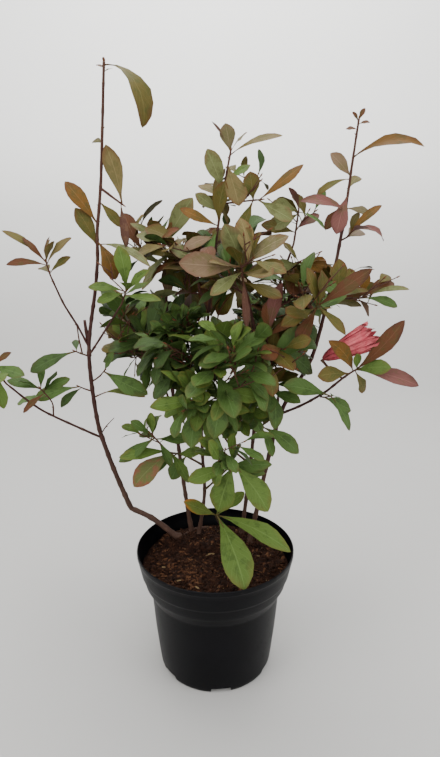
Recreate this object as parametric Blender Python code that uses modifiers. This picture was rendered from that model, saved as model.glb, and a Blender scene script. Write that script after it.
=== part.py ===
"""Potted azalea: five stems in a round nursery pot, with boughs, leafy sprays and one bloom.

Metres, +Z up, origin at the centre of the pot's flat underside, front of the plant towards -Y.
"""
import math
import random

import bmesh
import bpy
from mathutils import Matrix, Vector
from mathutils.bvhtree import BVHTree

# ---- driving dimensions, millimetres unless the name says otherwise ----
MM = 0.001
GAP = 0.3                    # clearance between pieces that meet
POT_RADIUS = 95.0
POT_HEIGHT = 155.0
POT_WALL = 1.3
POT_FLOOR = 9.0
POT_STEPS = 36
SHOULDER_TOP = 114.0         # where the collar starts to step in
SHOULDER_LOW = 110.0
NOTCH_COUNT = 6
NOTCH_WIDTH = 24.0
NOTCH_HEIGHT = 6.5
NOTCH_DEPTH = 10.0
NOTCH_TURN = 6.0             # degrees right of the front
SOIL_TOP = 133.5
SOIL_MOUND = 5.5             # rise of the crown of soil the stems stand in
MOUND_CENTRE = (-4.0, 46.0)
MOUND_HALF = (58.0, 22.0)
STEM_SIDES = 7
BOUGH_SIDES = 6
SPRAY_SIDES = 5
LIMB_STEP = 19.0             # spacing of the rings along a limb
FOOT_FLARE = 1.45            # stem radius at the soil against the radius above it
FLARE_HEIGHT = 16.0
LEAF_THICK = 0.017           # blade thickness against its length
LEAF_WIDTH = 0.40            # blade width against its length
GROWN_WIDTH = 0.45           # the same for leaves grown by the rule
GOLDEN = 137.5
CLEAR = 0.7                  # room kept round a leaf or twig
# share of the full width along a blade: of a nearly flat leaf, a bent one and one that arches over
FLAT = ((0.58, 1.0),)
BENT = ((0.36, 0.72), (0.7, 0.96))
ARCHED = ((0.24, 0.5), (0.52, 0.98), (0.8, 0.8))
BENT_FROM = 30.0             # degrees of bend from which a leaf takes the second outline
ARCHED_FROM = 60.0           # and the third


# ---- scene, collections, materials ----
def clear_scene():
    for obj in list(bpy.data.objects):
        bpy.data.objects.remove(obj, do_unlink=True)


def collection(name, hidden=False):
    coll = bpy.data.collections.new(name)
    bpy.context.scene.collection.children.link(coll)
    coll.hide_render = hidden
    return coll


def material(name, color, roughness):
    mat = bpy.data.materials.new(name)
    mat.use_nodes = True
    shader = mat.node_tree.nodes["Principled BSDF"]
    shader.inputs["Base Color"].default_value = (*color, 1.0)
    shader.inputs["Roughness"].default_value = roughness
    return mat


def new_object(name, verts, faces, coll, mat=None, smooth=False):
    mesh = bpy.data.meshes.new(name)
    mesh.from_pydata([tuple(Vector(v) * MM) for v in verts], [], faces)
    mesh.update()
    if mat:
        mesh.materials.append(mat)
    if smooth:
        mesh.shade_smooth()
    obj = bpy.data.objects.new(name, mesh)
    coll.objects.link(obj)
    return obj


def apply_modifiers(obj):
    graph = bpy.context.evaluated_depsgraph_get()
    mesh = bpy.data.meshes.new_from_object(obj.evaluated_get(graph), depsgraph=graph)
    obj.modifiers.clear()
    old = obj.data
    obj.data = mesh
    bpy.data.meshes.remove(old)
    mesh.name = obj.name


# ---- pot and soil ----
def pot_outer():
    """Outer profile from rim to underside, as radius and height."""
    r = POT_RADIUS
    return [(r - 1.2, POT_HEIGHT), (r, POT_HEIGHT - 1.0), (r, POT_HEIGHT - 5.0),
            (r - 1.6, POT_HEIGHT - 12.0), (r - 4.6, 128.5), (r - 5.8, 126.0),
            (r - 9.0, SHOULDER_TOP), (r - 11.4, SHOULDER_LOW), (r - 16.5, SHOULDER_LOW - 10.3),
            (r - 20.6, 50.0), (r - 24.0, 20.0), (r - 25.6, 7.0), (r - 26.7, 2.0), (r - 29.5, 0.0)]


def pot_inner(clear=0.0):
    """Inner profile from floor to rim; clear moves it inwards for what fills the pot."""
    w = POT_WALL + clear
    points = [(0.0, POT_FLOOR + clear), (POT_RADIUS - 29.0 + 2.0, POT_FLOOR + clear)]
    outer = pot_outer()
    for k in (10, 8, 7, 6, 4, 2):
        points.append((outer[k][0] - w, outer[k][1]))
    return points


def lathe(name, profile, coll, mat, steps):
    """Turns a profile of (radius, height) round Z."""
    verts = [(r, 0.0, z) for r, z in profile]
    edges = [(i, i + 1) for i in range(len(verts) - 1)]
    mesh = bpy.data.meshes.new(name)
    mesh.from_pydata([tuple(Vector(v) * MM) for v in verts], edges, [])
    mesh.materials.append(mat)
    obj = bpy.data.objects.new(name, mesh)
    coll.objects.link(obj)
    screw = obj.modifiers.new("turn", "SCREW")
    screw.axis = "Z"
    screw.angle = math.tau
    screw.steps = steps
    screw.render_steps = steps
    screw.use_merge_vertices = True
    screw.merge_threshold = 0.00005
    screw.use_smooth_shade = True
    return obj


def build_pot(parts, cutters, mat):
    profile = pot_inner() + [(POT_RADIUS - POT_WALL - 0.6, POT_HEIGHT)] + pot_outer() + [(0.0, 0.0)]
    pot = lathe("pot", profile, parts, mat, POT_STEPS)
    radius = POT_RADIUS - 29.0
    for k in range(NOTCH_COUNT):
        angle = math.radians(-90.0 + NOTCH_TURN + 360.0 / NOTCH_COUNT * k)
        bpy.ops.mesh.primitive_cube_add(size=1.0)
        box = bpy.context.active_object
        box.name = "notch_cutter_%d" % (k + 1)
        for holder in list(box.users_collection):
            holder.objects.unlink(box)
        cutters.objects.link(box)
        box.display_type = "WIRE"
        box.hide_render = True
        deep = NOTCH_DEPTH + 12.0
        shape = Matrix.Diagonal((deep * MM, NOTCH_WIDTH * MM, 2 * NOTCH_HEIGHT * MM, 1.0))
        middle = (radius - NOTCH_DEPTH + deep / 2 + 3.0) * MM
        place = Matrix.Rotation(angle, 4, "Z") @ Matrix.Translation((middle, 0.0, 0.0))
        box.data.transform(place @ shape)
        cut = pot.modifiers.new("notch", "BOOLEAN")
        cut.operation = "DIFFERENCE"
        cut.solver = "EXACT"
        cut.object = box
    apply_modifiers(pot)
    return pot


def soil_height(x, y):
    """Soil surface: a level fill, a low mound with a flat top, and a slight dip at the wall."""
    spread = math.hypot((x - MOUND_CENTRE[0]) / MOUND_HALF[0], (y - MOUND_CENTRE[1]) / MOUND_HALF[1])
    rise = min(1.0, max(0.0, (1.35 - spread) / 0.35))
    rise = rise * rise * (3 - 2 * rise)
    radius = math.hypot(x, y)
    dip = 2.0 * max(0.0, (radius - 82.0) / 8.0)
    bumps = 0.9 * math.sin(x / 7.0 + 1.0) * math.cos(y / 6.0) * (1.0 - rise)
    return SOIL_TOP + SOIL_MOUND * rise + bumps * (radius > 3.0) - dip * (1.0 - rise)


def build_soil(parts, mat):
    """Fills the pot to just under its rim, one gap clear of the wall."""
    side = pot_inner(GAP)[:-2]
    edge = pot_outer()[4][0] - POT_WALL - GAP
    rings = 6
    top = [(edge * k / rings, SOIL_TOP) for k in range(rings + 1)]
    soil = lathe("soil", top + side[::-1], parts, mat, POT_STEPS)
    apply_modifiers(soil)
    for vert in soil.data.vertices:
        x, y, z = vert.co / MM
        if z > SOIL_TOP - 0.5:
            vert.co.z = soil_height(x, y) * MM
    return soil


# ---- tubes along a path ----
def smooth_path(points, step):
    """Catmull-Rom curve through the points, with a point about every step."""
    pts = [Vector(p) for p in points]
    pts = [2 * pts[0] - pts[1]] + pts + [2 * pts[-1] - pts[-2]]
    path = []
    for i in range(1, len(pts) - 2):
        a, b, c, d = pts[i - 1:i + 3]
        count = max(1, round((c - b).length / step))
        for k in range(count):
            t = k / count
            path.append(0.5 * (2 * b + (c - a) * t + (2 * a - 5 * b + 4 * c - d) * t * t
                               + (3 * b - a - 3 * c + d) * t ** 3))
    path.append(pts[-2])
    return path


def tangents(path):
    result = []
    for i in range(len(path)):
        before, after = path[max(0, i - 1)], path[min(len(path) - 1, i + 1)]
        result.append((after - before).normalized())
    return result


def tube_shape(path, heads, radii, sides, first_ring=None):
    """Rings carried along the path without twisting, closed by flat ends."""
    up = Vector((0.3, 1.0, 0.2))
    side = heads[0].cross(up).normalized()
    verts, faces = [], []
    for i, (point, head, radius) in enumerate(zip(path, heads, radii)):
        side = (side - head * side.dot(head)).normalized()
        other = head.cross(side)
        ring = [point + radius * (math.cos(a) * side + math.sin(a) * other)
                for a in (math.tau * k / sides for k in range(sides))]
        if i == 0 and first_ring:
            ring = [first_ring(v, head) for v in ring]
        verts += ring
    count = len(path)
    faces.append([k for k in range(sides)][::-1])
    for i in range(count - 1):
        for k in range(sides):
            n = (k + 1) % sides
            faces.append((i * sides + k, i * sides + n, (i + 1) * sides + n, (i + 1) * sides + k))
    faces.append([(count - 1) * sides + k for k in range(sides)])
    return verts, faces


def run_length(path):
    return sum((b - a).length for a, b in zip(path, path[1:]))


class Limb:
    """A tapering limb: its path, its radii and the solid worked out from them."""

    def __init__(self, name, points, radius, end_radius, sides, parent=None, flare=False, step=LIMB_STEP):
        self.name = name
        first_ring = None
        if parent and parent[1] is None:                       # goes on from the parent's tip
            limb = parent[0]
            start = limb.path[-1] + limb.heads[-1] * GAP
            radius = min(radius, limb.radii[-1])
            path = smooth_path([start, start + limb.heads[-1] * 4.0] + list(points), step)
            heads = tangents(path)
            heads[0] = limb.heads[-1]
        elif parent:                                           # leaves the parent's side
            limb, height = parent
            origin, axis, thick = limb.station(height)
            path = smooth_path([origin] + list(points), step)
            head = (path[1] - path[0]).normalized()
            out = (head - axis * head.dot(axis)).normalized()
            slope = max(0.35, head.dot(out))
            reach = thick + GAP + 0.12
            needed = (reach + radius * math.sqrt(1 - slope * slope) + 0.6) / slope
            path = [p for p in path if (p - origin).length > needed + 1.0]
            base = origin + head * needed
            path = [base, base + head * 0.9] + path
            heads = tangents(path)
            heads[0] = heads[1] = head

            def first_ring(v, direction):
                lack = reach - (v - origin).dot(out)
                return v + direction * (lack / direction.dot(out))
        else:                                                  # stands on the soil
            path = smooth_path(points, step)
            heads = tangents(path)
            heads[0] = Vector((0.0, 0.0, 1.0))
            if flare:
                head = (path[1] - path[0]).normalized()
                path.insert(1, path[0] + (head + Vector((0, 0, 1))).normalized() * 5.0)
                heads.insert(1, (head + Vector((0, 0, 1))).normalized())
        self.path, self.heads = path, heads
        total = self.length()
        run = 0.0
        self.radii = []
        for i, point in enumerate(path):
            if i:
                run += (point - path[i - 1]).length
            size = radius + (end_radius - radius) * run / total
            if flare:
                size *= 1.0 + (FOOT_FLARE - 1.0) * max(0.0, 1.0 - run / FLARE_HEIGHT) ** 2
            self.radii.append(size)
        self.verts, self.faces = tube_shape(path, heads, self.radii, sides, first_ring)

    def length(self):
        return run_length(self.path)

    def station(self, height):
        """Point, direction and radius where the limb passes a height."""
        for i in range(len(self.path) - 1):
            low, high = self.path[i].z, self.path[i + 1].z
            if low <= height <= high:
                t = (height - low) / max(1e-6, high - low)
                return (self.path[i].lerp(self.path[i + 1], t), (self.path[i + 1] - self.path[i]).normalized(),
                        self.radii[i] + (self.radii[i + 1] - self.radii[i]) * t)
        raise ValueError("%s does not pass height %s" % (self.name, height))

    def along(self, share):
        """Point, direction and radius at a share of the length."""
        aim, run = share * self.length(), 0.0
        for i in range(len(self.path) - 1):
            span = (self.path[i + 1] - self.path[i]).length
            if run + span >= aim or i == len(self.path) - 2:
                t = min(1.0, (aim - run) / span)
                return (self.path[i].lerp(self.path[i + 1], t), (self.path[i + 1] - self.path[i]).normalized(),
                        self.radii[i] + (self.radii[i + 1] - self.radii[i]) * t)
            run += span


# ---- leaves ----
def leaf_shape(base, head, normal, length, width, bend, fold=0.22, extra=0.0):
    """A blade whose middle follows an arc of the given bend, as four-cornered sections to a point."""
    side = head.cross(normal).normalized()
    beta = max(0.02, math.radians(bend)) if bend >= 0 else min(-0.02, math.radians(bend))
    thick = length * LEAF_THICK / 2 + extra
    verts = []
    stations = ARCHED if abs(bend) >= ARCHED_FROM else BENT if abs(bend) >= BENT_FROM else FLAT
    for t, share in stations:
        turn = beta * (0.5 - t)
        centre = base + (length / beta) * ((math.sin(beta / 2) - math.sin(turn)) * head
                                           + (math.cos(turn) - math.cos(beta / 2)) * normal)
        local = math.cos(turn) * normal - math.sin(turn) * head
        half = width / 2 * share + extra
        verts += [centre + side * half + local * half * fold, centre + local * thick,
                  centre - side * half + local * half * fold, centre - local * thick]
    last = len(verts) - 4
    verts += [base, base + (length / beta) * 2 * math.sin(beta / 2) * head]
    root, tip = len(verts) - 2, len(verts) - 1
    faces = []
    for i in range(0, last, 4):
        for k in range(4):
            n = (k + 1) % 4
            faces += [(i + k, i + 4 + k, i + 4 + n), (i + k, i + 4 + n, i + n)]
    for k in range(4):
        n = (k + 1) % 4
        faces += [(root, k, n), (last + k, tip, last + n)]
    return verts, faces


def aim(clock, lean, turn):
    """Direction and face of a leaf: clock is its angle seen from the front (0 right, 90 up),
    lean its tilt to the front, turn how far its face is turned from the sky to the front."""
    phi, tilt, psi = math.radians(clock), math.radians(lean), math.radians(turn)
    head = Vector((math.cos(phi) * math.cos(tilt), -math.sin(tilt), math.sin(phi) * math.cos(tilt)))
    sign = 1.0 if math.cos(phi) >= 0 else -1.0
    upper = Vector((-math.sin(phi) * sign, 0.0, math.cos(phi) * sign))
    upper = (upper - head * upper.dot(head)).normalized()
    front = Vector((0.0, -1.0, 0.0)) + head * math.sin(-tilt) * 1.0
    front = front - head * front.dot(head)
    front = front.normalized() if front.length > 0.3 else upper
    return head, (math.cos(psi) * upper + math.sin(psi) * front).normalized()


def signed_volume(verts, faces):
    total = 0.0
    for face in faces:
        for i in range(1, len(face) - 1):
            total += Vector(verts[face[0]]).dot(Vector(verts[face[i]]).cross(Vector(verts[face[i + 1]])))
    return total / 6.0


def outward(verts, faces):
    """Turns the faces round where they look inwards."""
    if signed_volume(verts, faces) < 0:
        faces = [tuple(reversed(f)) for f in faces]
    return verts, faces


# ---- keeping each piece to its own space ----
class Space:
    """Every solid placed so far, with its owner, for asking what a new one would touch."""

    def __init__(self):
        self.items = []

    def add(self, owner, verts, faces):
        self.items.append((owner, BVHTree.FromPolygons(verts, faces), bounds(verts)))

    def touched(self, verts, faces, ignore=()):
        tree, (low, high) = None, bounds(verts)
        for owner, other, (a, b) in self.items:
            if owner in ignore or any(high[k] < a[k] or low[k] > b[k] for k in range(3)):
                continue
            tree = tree or BVHTree.FromPolygons(verts, faces)
            if tree.overlap(other):
                return owner
        return None


def bounds(verts):
    return ([min(v[k] for v in verts) for k in range(3)], [max(v[k] for v in verts) for k in range(3)])


# ---- sprays: one mass of leaves each ----
def leaf(at, clock, lean, length, width=None, bend=25, turn=45):
    """One leaf shown on the plant: its share along the stem and how it points."""
    return dict(at=at, clock=clock, lean=lean, length=length, width=width or length * LEAF_WIDTH,
                bend=bend, turn=turn)


def twig(at, clock, lean, length, leaves):
    return dict(at=at, clock=clock, lean=lean, length=length, leaves=leaves)


class Spray:
    """Leaves on twigs that all spring from one stem."""

    def __init__(self, name, limb, mat, leaves=(), twigs=(), fill=0, size=46, spread=(38, 85), grow=(0, 0),
                 seed=1, from_share=0.55):
        self.name, self.limb, self.mat = name, limb, mat
        self.leaves, self.twigs = leaves, twigs
        self.fill, self.size, self.spread, self.grow = fill, size, spread, grow
        self.dice = random.Random(seed)
        self.from_share = from_share
        self.pieces = []
        spine = point_along(limb.path, 0.1), point_along(limb.path, 0.75)
        self.blades = [BVHTree.FromPolygons(*tube_shape(spine, [limb.heads[-1]] * 2, [0.8] * 2, 3))]

    def try_leaf(self, space, base, head, normal, length, width, bend, loose=False):
        room = outward(*leaf_shape(base, head, normal, length + CLEAR, width, bend, extra=CLEAR))
        if space.touched(*room, ignore=(self.name,)):
            return False
        blade = BVHTree.FromPolygons(*leaf_shape(base + head * length * 0.25, head, normal, length * 0.75,
                                                 width, bend * 0.75))
        if not loose and any(blade.overlap(other) for other in self.blades):
            return False
        self.blades.append(blade)
        solid = outward(*leaf_shape(base, head, normal, length, width, bend))
        space.add(self.name, *solid)
        self.pieces.append(solid)
        return True

    def try_twig(self, space, start, head, length, radius):
        path = [start, start + head * length]
        heads = [head, head]
        room = tube_shape([start + head * 3.0, path[1]], heads, [radius + CLEAR] * 2, 5)
        if space.touched(*room, ignore=(self.name, self.limb.name)):
            return None
        solid = outward(*tube_shape(path, heads, [radius * 1.15, radius * 0.85], 3))
        self.blades.append(BVHTree.FromPolygons(*tube_shape([start + head * 4.0, path[1] - head * 5.0], heads,
                                                            [radius, radius], 3)))
        space.add(self.name, *solid)
        self.pieces.append(solid)
        return path, heads

    def place_given(self, space):
        """The leaves and twigs the plant shows one by one."""
        for item in self.leaves:
            base = self.limb.along(min(item["at"], 0.985))[0]
            self.place_shown(space, base, item)
        for item in self.twigs:
            base, axis, radius = self.limb.along(min(item["at"], 0.97))
            head, _ = aim(item["clock"], item["lean"], 45)
            laid = self.try_twig(space, base, head, item["length"], max(0.9, radius * 0.75))
            if not laid:
                print("no room for a twig of", self.name)
                continue
            for inner in item["leaves"]:
                spot = point_along(laid[0], min(inner["at"], 0.96))
                self.place_shown(space, spot, inner)

    def place_shown(self, space, base, item):
        for nudge in ((0, 0), (0, 12), (0, -12), (8, 0), (-8, 0), (0, 25), (0, -25), (12, 14), (-12, -14)):
            head, normal = aim(item["clock"] + nudge[0], item["lean"] + nudge[1], item["turn"])
            if self.try_leaf(space, base, head, normal, item["length"], item["width"], item["bend"], True):
                return
        print("no room for a leaf of", self.name, item["clock"], item["length"])

    def place_grown(self, space):
        """The seeded rule: leaves by the golden angle round each tip, and side twigs that do the same."""
        tips = [(self.limb.path, self.limb.heads[-1], 12.0, self.fill)]
        count, each = self.grow
        for k in range(count):
            share = self.from_share + (0.93 - self.from_share) * k / max(1, count - 1)
            base, axis, radius = self.limb.along(share)
            for attempt in range(6):
                angle = GOLDEN * (k + attempt * 0.7) + self.dice.uniform(-20, 20)
                head = outwards(axis, angle, self.dice.uniform(45, 70))
                length = self.size * self.dice.uniform(0.5, 0.75)
                laid = self.try_twig(space, base, head, length, max(0.9, radius * 0.7))
                if laid:
                    tips.append((laid[0], head, 9.0, each))
                    break
        for path, axis, run, leaves in tips:
            start = self.dice.uniform(0, 360)
            whole = run_length(path)
            for k in range(leaves):
                share = k / max(1, leaves - 1)
                tilt = self.spread[0] + (self.spread[1] - self.spread[0]) * share
                length = self.size * (0.78 + 0.3 * share) * self.dice.uniform(0.85, 1.15)
                for attempt in range(9):
                    angle = start + GOLDEN * k + attempt * 41.0
                    base = point_along(path, max(0.3, 0.985 - run * share / whole))
                    head = outwards(axis, angle, tilt + self.dice.uniform(-8, 8))
                    normal = axis + Vector((0, 0, 0.6))
                    normal = (normal - head * normal.dot(head)).normalized()
                    bend = self.dice.uniform(8, 32)
                    if self.try_leaf(space, base, head, normal, length, length * GROWN_WIDTH, bend):
                        break


def point_along(path, share):
    """The point at a share of a path's length."""
    aim_run, run = share * run_length(path), 0.0
    for a, b in zip(path, path[1:]):
        span = (b - a).length
        if run + span >= aim_run:
            return a.lerp(b, (aim_run - run) / span)
        run += span
    return path[-1]


def outwards(axis, angle, tilt):
    """A direction at a tilt from an axis, turned round it by an angle."""
    side = axis.cross(Vector((0.2, 1.0, 0.1))).normalized()
    other = axis.cross(side)
    turn, lean = math.radians(angle), math.radians(tilt)
    return (axis * math.cos(lean) + (side * math.cos(turn) + other * math.sin(turn)) * math.sin(lean)).normalized()


def fuse(spray, parts):
    """Joins a spray's stem, twigs and leaves into one closed body."""
    obj = new_object(spray.name, *outward(spray.limb.verts, spray.limb.faces), parts, spray.mat)
    bits = collection(spray.name + "_pieces")
    for verts, faces in spray.pieces:
        new_object(spray.name + "_piece", verts, faces, bits)
    join = obj.modifiers.new("join", "BOOLEAN")
    join.operation = "UNION"
    join.solver = "MANIFOLD"
    join.operand_type = "COLLECTION"
    join.collection = bits
    apply_modifiers(obj)
    for piece in list(bits.objects):
        bpy.data.objects.remove(piece, do_unlink=True)
    bpy.data.collections.remove(bits)
    keep_body(obj)
    obj.data.materials.clear()
    obj.data.materials.append(spray.mat)
    return obj


def keep_body(obj):
    """Drops loose scraps and the skins of sealed hollows, keeping the one main body."""
    mesh = bmesh.new()
    mesh.from_mesh(obj.data)
    mesh.faces.ensure_lookup_table()
    seen, bodies = set(), []
    for seed in mesh.faces:
        if seed.index in seen:
            continue
        stack, body = [seed], []
        seen.add(seed.index)
        while stack:
            face = stack.pop()
            body.append(face)
            for edge in face.edges:
                for near in edge.link_faces:
                    if near.index not in seen:
                        seen.add(near.index)
                        stack.append(near)
        volume = 0.0
        for face in body:
            corners = [v.co for v in face.verts]
            for i in range(1, len(corners) - 1):
                volume += corners[0].dot(corners[i].cross(corners[i + 1])) / 6.0
        bodies.append((volume, body))
    bodies.sort(key=lambda item: item[0])
    for volume, body in bodies[:-1]:
        if volume > 1e-9:
            print("scrap dropped from", obj.name, round(volume * 1e9, 2), "mm3")
        bmesh.ops.delete(mesh, geom=body, context="FACES")
    mesh.to_mesh(obj.data)
    mesh.free()


def bloom_shape(start, end, widest, pleats):
    """A half open, crumpled funnel of petals: a pleated cup round the line from start to end."""
    axis = (end - start).normalized()
    length = (end - start).length
    side = axis.cross(Vector((0, 0, 1))).normalized()
    other = axis.cross(side)
    profile = ((0.0, 0.12), (0.14, 0.46), (0.38, 0.80), (0.7, 1.0), (1.0, 0.95),
               (0.95, 0.76), (0.62, 0.40), (0.42, 0.12))
    verts = []
    count = pleats * 2
    for along, share in profile:
        for k in range(count):
            angle = math.tau * k / count
            crimp = 1.0 if k % 2 else 1.0 - 0.26 * share
            flat = 1.0 + 0.18 * math.cos(2 * angle)
            radius = widest * share * crimp * flat
            ragged = length * 0.05 * math.sin(3.1 * k) * share
            verts.append(start + axis * (length * along + ragged)
                         + radius * (math.cos(angle) * side + 0.8 * math.sin(angle) * other))
    faces = [tuple(range(count))]
    for i in range(len(profile) - 1):
        for k in range(count):
            n = (k + 1) % count
            faces.append((i * count + k, (i + 1) * count + k, (i + 1) * count + n, i * count + n))
    faces.append(tuple((len(profile) - 1) * count + k for k in reversed(range(count))))
    triangles = []
    for face in faces:
        if len(face) == 4:
            triangles += [(face[0], face[1], face[2]), (face[0], face[2], face[3])]
        else:
            triangles += [(face[0], face[i], face[i + 1]) for i in range(1, len(face) - 1)]
    return outward(verts, triangles)


# ---- the plant: limbs ----
def lay_limbs(space):
    """Stems from the soil and boughs from the stems, each one tapering limb."""
    limbs = {}
    ground = SOIL_TOP + SOIL_MOUND + GAP

    def stem(name, points, radius, end_radius, parent=None, flare=True, sides=STEM_SIDES, step=LIMB_STEP):
        limb = Limb(name, points, radius, end_radius, sides, parent, flare, step)
        where = space.touched(*outward(limb.verts, limb.faces))
        if where:
            print("limb", name, "touches", where)
        space.add(name, *outward(limb.verts, limb.faces))
        limbs[name] = limb
        return limb

    def bough(name, parent, height, points, radius, end_radius):
        return stem(name, points, radius, end_radius, (limbs[parent], height), False, BOUGH_SIDES)

    stem("stem_left_foot", [(-46, 39, ground), (-60, 43, 150), (-84, 50, 165), (-106, 56, 173)], 3.6, 3.3,
         step=11.0)
    stem("stem_left_lower", [(-121, 54, 206), (-133, 51, 245), (-142, 48, 280)], 3.3, 2.7,
         (limbs["stem_left_foot"], None), False)
    stem("stem_left_upper", [(-147, 44, 320), (-148, 36, 391), (-134, 24, 462), (-129, 19, 492)], 2.6, 1.9,
         (limbs["stem_left_lower"], None), False)
    stem("stem_back_left", [(-32, 58, ground), (-44, 68, 223), (-52, 75, 297), (-58, 72, 400), (-59, 70, 466)],
         2.8, 1.7)
    stem("stem_centre", [(-22, 50, ground), (-14, 48, 202), (-16, 45, 249), (-17, 40, 313), (-12, 35, 385),
                         (-6, 30, 450), (1, 26, 512)], 2.3, 1.5)
    stem("stem_front", [(34, 52, ground), (45, 49, 249), (49, 36, 336), (47, 10, 400), (37, -12, 452)], 2.6, 1.6)
    stem("stem_right", [(44, 34, ground), (66, 43, 251), (82, 40, 318), (107, 35, 367), (118, 32, 400),
                        (131, 22, 476), (139, 16, 540)], 3.0, 1.7)
    stem("stem_low_front", [(12, 38, ground), (9, 27, 160), (3, 9, 184)], 1.7, 1.3, step=11.0)

    bough("bough_left_low", "stem_left_lower", 276, [(-166, 38, 293), (-206, 20, 323), (-234, 6, 355)], 1.5, 1.1)
    bough("bough_left_middle", "stem_left_upper", 394, [(-158, 29, 421), (-169, 19, 447), (-178, 11, 476)],
          1.3, 1.0)
    bough("bough_left_inner", "stem_left_upper", 384, [(-128, 21, 412), (-103, 0, 447)], 1.3, 1.0)
    bough("bough_right_centre", "stem_front", 392, [(60, 20, 428), (75, 36, 472), (88, 46, 508)], 1.6, 1.2)
    bough("bough_right_low", "stem_front", 360, [(66, 14, 384), (86, -6, 414), (100, -17, 437)], 1.5, 1.1)
    bough("bough_bloom", "stem_right", 310, [(103, 14, 331), (124, -8, 353), (136, -18, 368)], 1.6, 1.3)
    bough("bough_mid_front", "stem_front", 240, [(24, 38, 262), (8, 22, 292), (-6, 4, 322)], 1.4, 1.1)
    bough("bough_back_left", "stem_back_left", 292, [(-67, 100, 330), (-76, 124, 368)], 1.5, 1.1)
    bough("bough_back_centre", "stem_centre", 380, [(-13, 70, 412), (-12, 102, 448)], 1.3, 1.0)
    bough("bough_back_right", "stem_right", 296, [(79, 76, 334), (75, 110, 374)], 1.5, 1.1)
    return limbs


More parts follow.
